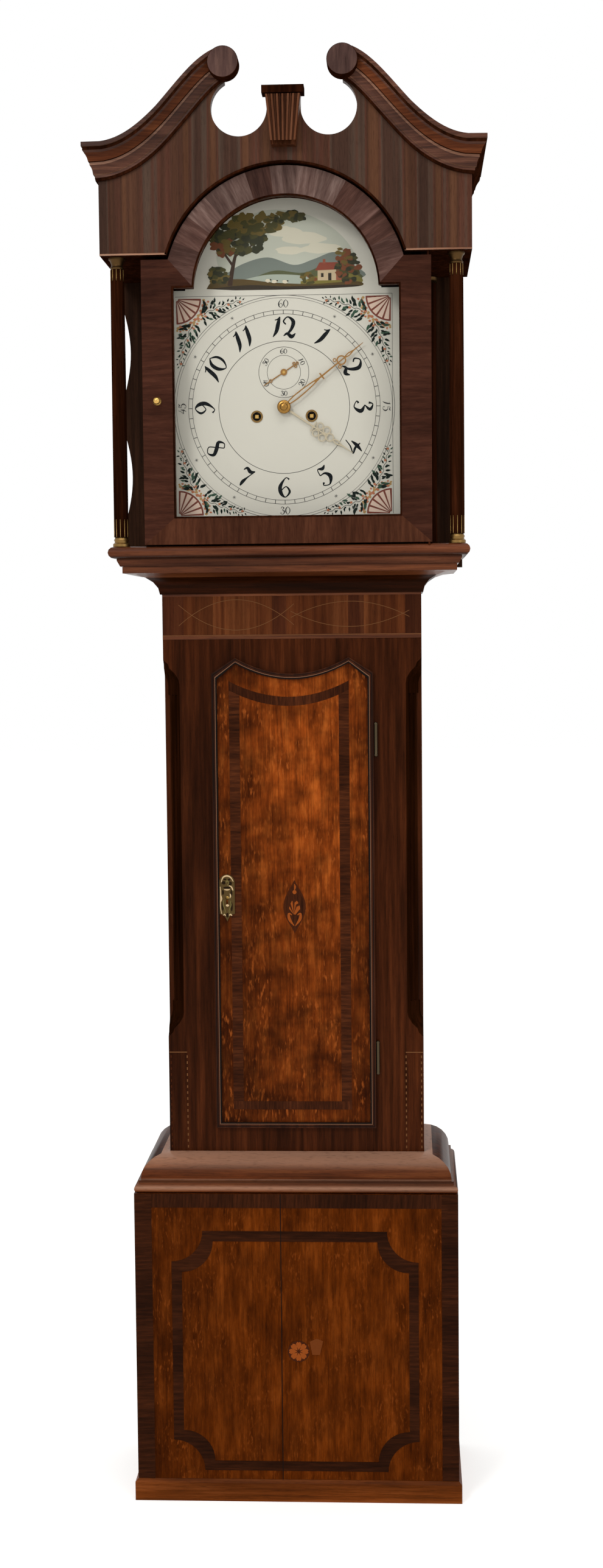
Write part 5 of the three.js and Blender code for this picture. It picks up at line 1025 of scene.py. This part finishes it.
# Pen strokes of each figure, in hundredths of its height: (x, z, width)
FIGURES = {
    "0": [[(30, 98, 3), (7, 72, 13), (6, 32, 13), (30, 2, 3), (54, 32, 9), (54, 70, 9), (30, 98, 3)]],
    "1": [[(42, 100, 3), (34, 72, 14), (24, 30, 14), (6, 0, 3)],
          [(42, 100, 3), (30, 88, 5), (16, 84, 2)]],
    "2": [[(14, 62, 5), (2, 78, 6), (24, 99, 5), (52, 74, 15), (36, 30, 10), (2, 4, 3)],
          [(2, 4, 3), (20, 16, 10), (42, 0, 15), (62, 16, 3)]],
    "3": [[(12, 76, 9), (20, 97, 4), (46, 82, 12), (24, 56, 3)],
          [(24, 56, 3), (54, 36, 16), (34, 2, 5), (4, 14, 3), (14, 24, 9)]],
    "4": [[(40, 100, 3), (24, 64, 5), (0, 34, 5), (30, 38, 9), (62, 28, 4)],
          [(50, 72, 4), (44, 36, 14), (30, 0, 3)]],
    "5": [[(58, 100, 3), (40, 88, 13), (16, 96, 3), (12, 62, 3)],
          [(12, 62, 3), (40, 62, 8), (56, 34, 16), (34, 2, 5), (4, 12, 3), (12, 24, 9)]],
    "6": [[(52, 90, 7), (34, 98, 3), (6, 56, 14), (10, 20, 14), (32, 1, 4), (54, 28, 9), (36, 54, 4),
           (12, 36, 3)]],
    "7": [[(4, 80, 3), (16, 96, 10), (40, 86, 14), (60, 99, 3)],
          [(60, 99, 3), (40, 56, 5), (28, 24, 13), (26, 0, 5)]],
    "8": [[(50, 86, 3), (30, 98, 4), (10, 76, 12), (34, 50, 15), (52, 22, 12), (30, 1, 4), (6, 20, 3),
           (24, 50, 3), (50, 86, 3)]],
    "9": [[(8, 12, 7), (26, 2, 3), (54, 44, 14), (50, 80, 14), (28, 99, 4), (6, 72, 9), (24, 46, 4),
           (48, 64, 3)]],
}
FIGURE_WIDTH = 0.6


def figures(text, x, z, height, angle, weight=1.0, pitch=0.66):
    """The strokes of a number centred on a point and turned by an angle."""
    shapes = []
    total = pitch * (len(text) - 1) + FIGURE_WIDTH
    for place, digit in enumerate(text):
        for line in FIGURES[digit]:
            points = [(px / 100 - total / 2 + place * pitch, pz / 100 - 0.5, width / 100 * weight)
                      for px, pz, width in line]
            shapes += [moved(flat, x, z, angle, height) for flat in pen_line(points)]
    return shapes


def around(radius, clock_degrees, z=CZ):
    turn = math.radians(clock_degrees)
    return CX + radius * math.sin(turn), z + radius * math.cos(turn)


def hoop(x, z, outer, inner, count):
    """The outline of a thin ring and its hole."""
    return ring(x, z, outer, count=count), [ring(x, z, inner, count=count)]


HOUR_RADIUS, MINUTE_RADIUS, SECONDS_RADIUS = 121.5, 156.5, 31.8
TRACK_IN, TRACK_OUT = 141, 147
rings = [(ink_thin, *hoop(CX, z, outer, inner, count)) for z, outer, inner, count in (
    (CZ, 169.3, 168.6, 120), (CZ, 165.6, 165.1, 120), (CZ, 147.2, 146.5, 120), (CZ, 141.2, 140.5, 120),
    (CZ, 100.6, 99.8, 96), (SECONDS_Z, 38.6, 37.9, 64), (SECONDS_Z, 25.8, 25.2, 64),
)]
for minute in range(60):
    rings.append((ink_thin, ribbon([around(TRACK_IN, 6 * minute), around(TRACK_OUT, 6 * minute)], 1.0)))
for hour in range(12):
    if hour % 3:
        x, z = around(MINUTE_RADIUS, 30 * hour)
        for turn in range(3):
            rings.append((ink_thin, moved(rectangle(-2.6, 2.6, -0.3, 0.3), x, z, 60 * turn + 15)))
leaf("dial_rings", "case", DIAL, rings, depth=0.12, rise=0.001)

numbers = []
for hour in range(1, 13):
    x, z = around(HOUR_RADIUS, 30 * hour)
    outward = -30 * hour + (180 if 4 <= hour <= 8 else 0)
    numbers += [(ink, shape) for shape in figures(str(hour), x, z, 30, outward, 1.3, 0.58)]
for minute, turned in ((60, 0), (15, -90), (30, 0), (45, 90)):
    x, z = around(MINUTE_RADIUS, 6 * (minute % 60))
    numbers += [(ink_grey, shape) for shape in figures(str(minute), x, z, 12, turned)]
for second in (60, 10, 20, 30, 40, 50):
    x, z = around(SECONDS_RADIUS, 6 * (second % 60), SECONDS_Z)
    angle = -6 * (second % 60) + (180 if second in (20, 30, 40) else 0)
    numbers += [(ink_grey, shape) for shape in figures(str(second), x, z, 8, angle, 1.2)]
leaf("dial_numbers", "case", DIAL, numbers, depth=0.14, rise=0.001)

WINDING_Z = 1694.5
for word, x in (("left", -49), ("right", 35)):
    rim = brass_old, *hoop(x, WINDING_Z, 9.2, 6.6, 32)
    leaf("winding_ring_" + word, "case", DIAL, [rim], depth=0.9)
    shade = ring(x, WINDING_Z, 8.4, count=32), [ring(x, WINDING_Z, 4.4, count=16)]
    leaf("winding_shade_" + word, "case", DIAL + 1.3 * MM, [(joint_and_shadow_line, *shade)], depth=0.3)

# Hands: pierced brass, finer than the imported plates

hand_brass = metal("hand_brass", (150, 110, 62), 0.4)
collet_brass = metal("collet_brass", (156, 116, 58), 0.3)
hand_pale = metal("hand_pale", (184, 172, 146), 0.45)
HAND_THICKNESS = 1.2 * MM


def hand(node, body, degrees, centre, material, parts):
    """A flat pierced hand. Each part is an outline, or a hoop, drawn upright from the arbor."""
    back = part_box(node)[0].y + HAND_THICKNESS
    shapes = []
    for part in parts:
        outer, holes = part if isinstance(part, tuple) else (part, [])
        outer, *holes = (moved(outline, *centre, -degrees) for outline in (outer, *holes))
        shapes.append((material, outer, holes))
    piece = leaf("pierced_" + node, body, back, shapes, depth=1.1, rise=0.008)
    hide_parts(node)


hand("minute_hand", "centre_arbor", 52, (CX, CZ), hand_brass, [
    ring(0, 0, 8.5, count=28),
    *(ribbon(smooth([(side * 1.2, 5), (side * 3.4, 22), (side * 3.0, 44), (side * 0.8, 68)]), 1.7)
      for side in (-1, 1)),
    ribbon([(0, 60), (0, 106)], [2.6, 1.9]),
    ribbon([(-5.5, 74), (5.5, 74)], 2.2),
    hoop(0, 112, 7.4, 5.4, 28),
    hoop(-6.5, 104, 2.9, 1.5, 16),
    hoop(6.5, 104, 2.9, 1.5, 16),
    ribbon([(0, 106), (0, 119)], 1.6),
    stroke([(0, 118, 2.0), (1.8, 126, 1.5), (0, 134, 2.2)]),
    stroke([(0, 118, 2.0), (-1.8, 126, 1.5), (0, 134, 2.2)]),
    ribbon([(0, 133), (0, 154)], [2.0, 0.8]),
])
hand("hour_hand", "hour_pipe", 124, (CX, CZ), hand_pale, [
    ring(0, 0, 8.5, count=28),
    ribbon([(0, 6), (0, 56)], [3.4, 2.2]),
    hoop(-6.4, 62, 5.6, 4.1, 24),
    hoop(6.4, 62, 5.6, 4.1, 24),
    hoop(-6.6, 74, 6.2, 4.6, 24),
    hoop(6.6, 74, 6.2, 4.6, 24),
    hoop(0, 84, 6.4, 4.8, 24),
    ribbon([(0, 54), (0, 80)], 1.6),
    ribbon([(-9, 54), (9, 54)], 1.6),
    stroke([(0, 89, 2.0), (2.6, 97, 1.6), (0, 106, 2.0)]),
    stroke([(0, 89, 2.0), (-2.6, 97, 1.6), (0, 106, 2.0)]),
    ribbon([(0, 105), (0, 126)], [2.2, 0.8]),
])
pipe_front, pipe_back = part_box("hour_hand")[0].y + 0.7 * MM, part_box("hour_hand")[1].y
pipe_path = [Vector((CX * MM, y, CZ * MM)) for y in (pipe_front, pipe_back)]
solid("hour_pipe_tube", "hour_pipe", brass, *tube(pipe_path, 4.9 * MM, 20), slot="brass")
hand("seconds_hand", "escape_arbor", 237, (CX, SECONDS_Z), hand_brass, [
    ring(0, 0, 5, count=24),
    ribbon([(0, 4), (0, 22)], 1.4),
    hoop(0, 24, 2.6, 1.3, 16),
    ribbon([(0, 26), (0, 37)], [1.6, 0.7]),
    ribbon([(0, -4), (0, -18)], 1.4),
    hoop(-2.4, -20, 2.4, 1.2, 16),
    hoop(2.4, -20, 2.4, 1.2, 16),
    hoop(0, -24.5, 2.4, 1.2, 16),
])
TURNED_SIDES = 24


def turned(name, body, material, x, z, front, outline):
    """A round piece on a front face: `outline` holds (radius, how far in front), ending on the axis side."""
    vertices = [(px * MM, front - out * MM, pz * MM)
                for radius, out in outline for px, pz in ring(x, z, radius, count=TURNED_SIDES)]
    last = len(vertices) - TURNED_SIDES
    faces = bands(len(outline) - 1, TURNED_SIDES)
    faces += [range(TURNED_SIDES)[::-1], range(last, last + TURNED_SIDES)]
    return solid(name, body, material, vertices, faces, slot="brass")


turned("hand_collet", "centre_arbor", collet_brass, CX, CZ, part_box("minute_hand")[0].y, (
    (10.4, 0), (10.4, 0.6), (9.4, 1.7), (7.4, 2.3), (6.2, 2.4), (5.6, 3.6), (4.0, 4.6), (1.6, 5.0),
))
knob_x, _, knob_z = (value / MM for value in box_middle(*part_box("hood_knob")))
knob = turned("hood_knob_turned", "hood_door", brass, knob_x, knob_z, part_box("hood_knob")[1].y - 0.5 * MM, (
    (6.4, 0), (6.4, 0.6), (3.4, 1.4), (2.8, 3.2), (4.4, 4.6), (5.4, 6.6), (5.4, 8.6), (4.4, 10.6),
    (2.2, 12.0), (0.6, 12.3),
))
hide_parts("hood_knob")

# Spandrels: a fan in each corner, two rows of dabs round it, and leaf sprigs


CORNER = 163.5
CORNER_TOP, CORNER_LOW = 1873.5, 1545.5
FAN_SPOKES, SCALLOPS, SPRIG_STEPS = 6, 16, 14
BLADE = [(0, 0), (2, 1.5), (4.4, 1.4), (7.4, 0), (4.4, -1.2), (2, -1.2)]


def spandrel(side, end):
    """One corner's ornament. `side` is -1 left or 1 right, `end` is -1 bottom or 1 top."""
    corner_x = CX + side * CORNER
    corner_z = CORNER_TOP if end > 0 else CORNER_LOW
    shapes = []

    def add(material, points):
        shapes.append((material, [(corner_x - side * x, corner_z - end * z) for x, z in points]))

    add(pink, sector(0, 0, 3, 36, 0, 90, 60))
    for i in range(FAN_SPOKES):
        angle = 2 + 17.2 * i
        add(russet, ribbon([polar(3, angle), polar(37, angle)], [1.2, 3.1]))
    add(russet, sector(0, 0, 35.5, 38, 0, 90, 60))
    for i in range(SCALLOPS):
        angle = 3 + 5.6 * i
        add(orange if i % 3 else gold, blob(*polar(42 + 2.2 * (i % 2), angle), 2.7, 2.3, 0.3, 9))
        add(gold if i % 2 else orange, blob(*polar(49 - 1.6 * (i % 2), angle + 2), 1.9, 1.6, 0.3, 8))
    for flip in (False, True):
        stem = []
        for i in range(SPRIG_STEPS + 1):
            along = 38 + 62 * i / SPRIG_STEPS
            room = CORNER - math.sqrt(max(169 ** 2 - (CORNER - along) ** 2, 0))
            stem.append((along, max(room * 0.5, 3) + 1.5 * math.sin(i * 1.9)))
        if flip:
            stem = [(z, x) for x, z in stem]
        add(leaf_dark, ribbon(smooth(stem, 3), 0.7))
        for i, (x, z) in enumerate(stem):
            before, after = stem[max(i - 1, 0)], stem[min(i + 1, SPRIG_STEPS)]
            heading = math.degrees(math.atan2(after[1] - before[1], after[0] - before[0]))
            long = 0.6 + 0.9 * (1 - i / SPRIG_STEPS)
            for sign in (-1, 1):
                for reach in ((2.5, 8.5) if i < 6 else (2.2,)):
                    tilt = heading + sign * dice.uniform(35, 80)
                    root = moved([(reach, 0)], x, z, heading + 70 * sign)[0]
                    colour = leaf_dark if dice.random() < 0.72 else leaf_green
                    add(colour, moved(BLADE, *root, tilt, long * dice.uniform(0.75, 1.1)))
            if i % 4 == 1:
                add(orange, blob(x + 2, z + 2, 2.0, 1.8, 0.2, 8))
    return shapes


corners = []
for side in (-1, 1):
    for end in (-1, 1):
        corners += spandrel(side, end)
leaf("dial_spandrels", "case", DIAL, corners, depth=0.1, rise=0.0006)
leaf("dial_frame_lines", "case", DIAL, [
    (ink_thin, rectangle(-172.5, 158.5, 1876.6, 1877.2)),
    (ink_thin, rectangle(158.5, 159.1, 1545, 1877.2)),
], depth=0.12)

# Arch painting: a lake with a cottage under hills, framed by a tree

PAINT = {
    "sky": (198, 200, 182), "cloud": (222, 216, 192), "far": (120, 128, 118), "hill": (86, 90, 58),
    "lake": (168, 176, 160), "field": (122, 112, 48), "ground": (84, 66, 28), "shade": (46, 36, 20),
    "tree_a": (44, 46, 22), "tree_b": (72, 68, 28), "tree_c": (108, 90, 36), "tree_d": (120, 66, 34),
    "trunk": (58, 38, 22), "wall": (200, 178, 142), "roof": (138, 66, 46), "brick": (150, 84, 60),
    "sheep": (220, 210, 184),
}
paints = {word: plain("paint_" + word, colour, 0.5, 0.25) for word, colour in PAINT.items()}
picture = []


def dab(word, points):
    picture.append((paints[word], points))


def wash(word, *points):
    dab(word, smooth(points))


def clump(words, x, z, width, height, count, size):
    """A mass of leaves, painted as many uneven dabs."""
    for _ in range(count):
        angle, reach = dice.uniform(0, TAU), math.sqrt(dice.random())
        dab(dice.choice(words), blob(
            x + width * reach * math.cos(angle), z + height * reach * math.sin(angle),
            size * dice.uniform(0.7, 1.3), size * dice.uniform(0.5, 0.9), 0.3, 9))


wash("sky", (-96, 1900), (98, 1900), (106, 1926), (92, 1954), (64, 1980), (20, 2000), (-34, 2004),
     (-80, 1982), (-108, 1940), (-96, 1900))
for x, z, w, h in ((24, 1962, 34, 10), (52, 1946, 30, 8), (-6, 1972, 26, 8), (4, 1944, 22, 6)):
    dab("cloud", blob(x, z, w, h, 0.15, 18))
wash("far", (-100, 1906), (-70, 1924), (-30, 1934), (10, 1922), (40, 1930), (74, 1940), (102, 1920),
     (104, 1900), (-100, 1898))
wash("hill", (-60, 1900), (-20, 1914), (24, 1910), (60, 1922), (96, 1914), (104, 1898), (-60, 1896))
wash("lake", (-72, 1900), (-30, 1908), (20, 1906), (48, 1898), (30, 1892), (-40, 1892))
wash("field", (20, 1897), (60, 1908), (104, 1906), (108, 1892), (20, 1889))
wash("ground", (-124, 1888), (-112, 1900), (-70, 1902), (-20, 1896), (40, 1893), (104, 1896), (112, 1889),
     (60, 1886.5), (-60, 1886.5))
wash("shade", (-122, 1888), (-60, 1893), (0, 1890), (90, 1891), (108, 1888.5), (40, 1885.5), (-80, 1885.5))

# The cottage's walls, roof, chimney, window and door
dab("wall", rectangle(46, 74, 1898, 1914))
dab("brick", rectangle(74, 88, 1898, 1912))
dab("roof", [(42, 1913), (49, 1925), (80, 1925), (91, 1911), (78, 1912.5), (74, 1914)])
dab("brick", rectangle(54, 58, 1923, 1930))
dab("shade", rectangle(51, 55, 1903, 1909))
dab("shade", rectangle(62, 67, 1898, 1909))

# Bushes beside the cottage, then the tall tree and the bushes on the left
clump(["tree_a", "tree_b", "tree_d"], 92, 1916, 16, 24, 60, 5)
clump(["tree_c", "tree_d"], 86, 1934, 12, 12, 22, 4)
clump(["tree_b", "tree_c", "tree_d"], 32, 1902, 10, 8, 18, 4)
for path in ([(-88, 1892, 7), (-84, 1916, 6), (-78, 1940, 4.5), (-66, 1962, 3)],
             [(-83, 1922, 4), (-98, 1944, 3), (-106, 1960, 1.5)],
             [(-80, 1936, 3), (-58, 1950, 2.4), (-40, 1958, 1.2)]):
    dab("trunk", stroke(path))
clump(["tree_a", "tree_b"], -74, 1962, 40, 24, 110, 7)
clump(["tree_b", "tree_c"], -48, 1984, 40, 15, 80, 6)
clump(["tree_a", "tree_b", "tree_c"], 2, 1994, 26, 8, 40, 5)
clump(["tree_c", "tree_d"], -96, 1950, 18, 12, 26, 5)
clump(["tree_a", "tree_b", "tree_c"], -106, 1908, 14, 12, 34, 5)
for x, z in ((-30, 1899), (-20, 1897.5), (-4, 1897)):
    dab("sheep", blob(x, z, 4.2, 2.6, 0.15, 12))
    dab("shade", blob(x + 4.2, z + 1.2, 1.3, 1.3, 0.1, 8))
leaf("dial_arch_painting", "case", DIAL, picture, depth=0.08, rise=0.0009)

# Gut lines: each comes down from its barrel, passes under its pulley and runs back up to the seat board

GUT_RADIUS = 1.0 * MM
BOARD_GAP = 0.3 * MM
DOWN_STEPS, WRAP_STEPS, UP_STEPS = 24, 12, 10
board_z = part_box("seat_board")[0].z

for word, sign in (("time", -1), ("strike", 1)):
    low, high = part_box("gut_line_" + word)
    middle_x, y, _ = box_middle(low, high)
    radius = (high.x - low.x) / 2 - GUT_RADIUS
    pulley_z = low.z + radius + GUT_RADIUS
    near_x, far_x = middle_x - sign * radius, middle_x + sign * radius
    top, bottom = Vector((near_x, y, high.z)), Vector((near_x, y, pulley_z))
    path = [top.lerp(bottom, i / DOWN_STEPS) for i in range(DOWN_STEPS)]
    for i in range(WRAP_STEPS + 1):
        angle = math.pi * i / WRAP_STEPS
        x, z = middle_x - sign * radius * math.cos(angle), pulley_z - radius * math.sin(angle)
        path.append(Vector((x, y, z)))
    bottom, top = Vector((far_x, y, pulley_z)), Vector((far_x, y, board_z - BOARD_GAP))
    path += [bottom.lerp(top, i / UP_STEPS) for i in range(1, UP_STEPS + 1)]
    line = solid("gut_" + word, None, gut, *tube(path, GUT_RADIUS), slot="gut")
    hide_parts("gut_line_" + word)
    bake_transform(line)

# Floor, light and camera

WHITE = (1, 1, 1, 1)
FLOOR_SIZE, FLOOR_DROP, FLOOR_GLOW = 40, 0.2 * MM, 0.45
WORLD_STRENGTH = 0.66


def seen(tree):
    """1 for rays from the camera, off metal or through glass, which are to meet a pale background."""
    path = tree.nodes.new("ShaderNodeLightPath")
    largest = path.outputs["Is Camera Ray"]
    for ray in ("Is Glossy Ray", "Is Transmission Ray"):
        larger = tree.nodes.new("ShaderNodeMath")
        larger.operation = "MAXIMUM"
        tree.links.new(largest, larger.inputs[0])
        tree.links.new(path.outputs[ray], larger.inputs[1])
        largest = larger.outputs[0]
    return largest


bpy.ops.mesh.primitive_plane_add(size=FLOOR_SIZE, location=(0, 0, -FLOOR_DROP))
floor = bpy.context.object
floor.name = "floor"
floor_material, floor_tree, floor_surface = shader("floor_pale", 0.9, 0.0)
floor_surface.inputs["Base Color"].default_value = rgb(244, 243, 240)
floor_surface.inputs["Emission Color"].default_value = WHITE
floor_glow = floor_tree.nodes.new("ShaderNodeMath")
floor_glow.operation = "MULTIPLY"
floor_glow.inputs[1].default_value = FLOOR_GLOW
floor_tree.links.new(seen(floor_tree), floor_glow.inputs[0])
floor_tree.links.new(floor_glow.outputs[0], floor_surface.inputs["Emission Strength"])
floor.data.materials.append(floor_material)

world = bpy.data.worlds.new("studio")
bpy.context.scene.world = world
world.use_nodes = True
sky = world.node_tree
dim, white = sky.nodes["Background"], sky.nodes.new("ShaderNodeBackground")
for backdrop, strength in ((dim, WORLD_STRENGTH), (white, 1.0)):
    backdrop.inputs["Color"].default_value = WHITE
    backdrop.inputs["Strength"].default_value = strength
choose = sky.nodes.new("ShaderNodeMixShader")
sky.links.new(seen(sky), choose.inputs["Fac"])
sky.links.new(dim.outputs[0], choose.inputs[1])
sky.links.new(white.outputs[0], choose.inputs[2])
sky.links.new(choose.outputs[0], sky.nodes["World Output"].inputs["Surface"])

for name, place, aim, size, watts in (
    ("key", (-1.5, -3.4, 3.6), (0, 0, 1.3), (0.9, 0.9), 42),
    ("fill", (2.6, -3.0, 2.2), (0, 0, 1.1), (1.2, 1.8), 14),
    ("top", (0.2, -1.5, 4.2), (0, -0.1, 1.2), (2.4, 0.5), 22),
):
    light = bpy.data.lights.new(name, "AREA")
    light.shape = "RECTANGLE"
    light.size, light.size_y = size
    light.energy = watts
    lamp = bpy.data.objects.new(name, light)
    bpy.context.scene.collection.objects.link(lamp)
    lamp.location = place
    lamp.rotation_euler = (Vector(aim) - Vector(place)).to_track_quat("-Z", "Y").to_euler()

PHOTO_HEIGHT = 2576
FOCAL_PIXELS = 3344.6
SENSOR = 36.0
camera_data = bpy.data.cameras.new("camera")
camera_data.sensor_width = SENSOR
camera_data.sensor_fit = "AUTO"
camera_data.lens = FOCAL_PIXELS / PHOTO_HEIGHT * SENSOR
camera_data.clip_end = 100
camera = bpy.data.objects.new("camera", camera_data)
bpy.context.scene.collection.objects.link(camera)
YAW, PITCH, ROLL = 0.0509766, -0.0758819, -0.0097081
EYE = Vector((0.17426, -3.19771, 1.36941))
ahead = Vector((-math.sin(YAW) * math.cos(PITCH), math.cos(YAW) * math.cos(PITCH), math.sin(PITCH)))
right = ahead.cross(Vector((0, 0, 1))).normalized()
up = right.cross(ahead)
right_rolled = math.cos(ROLL) * right + math.sin(ROLL) * up
up_rolled = -math.sin(ROLL) * right + math.cos(ROLL) * up
facing = Matrix((right_rolled, up_rolled, -ahead)).transposed().to_4x4()
camera.matrix_world = Matrix.Translation(EYE) @ facing
bpy.context.scene.camera = camera
bpy.context.scene.view_settings.view_transform = "Standard"
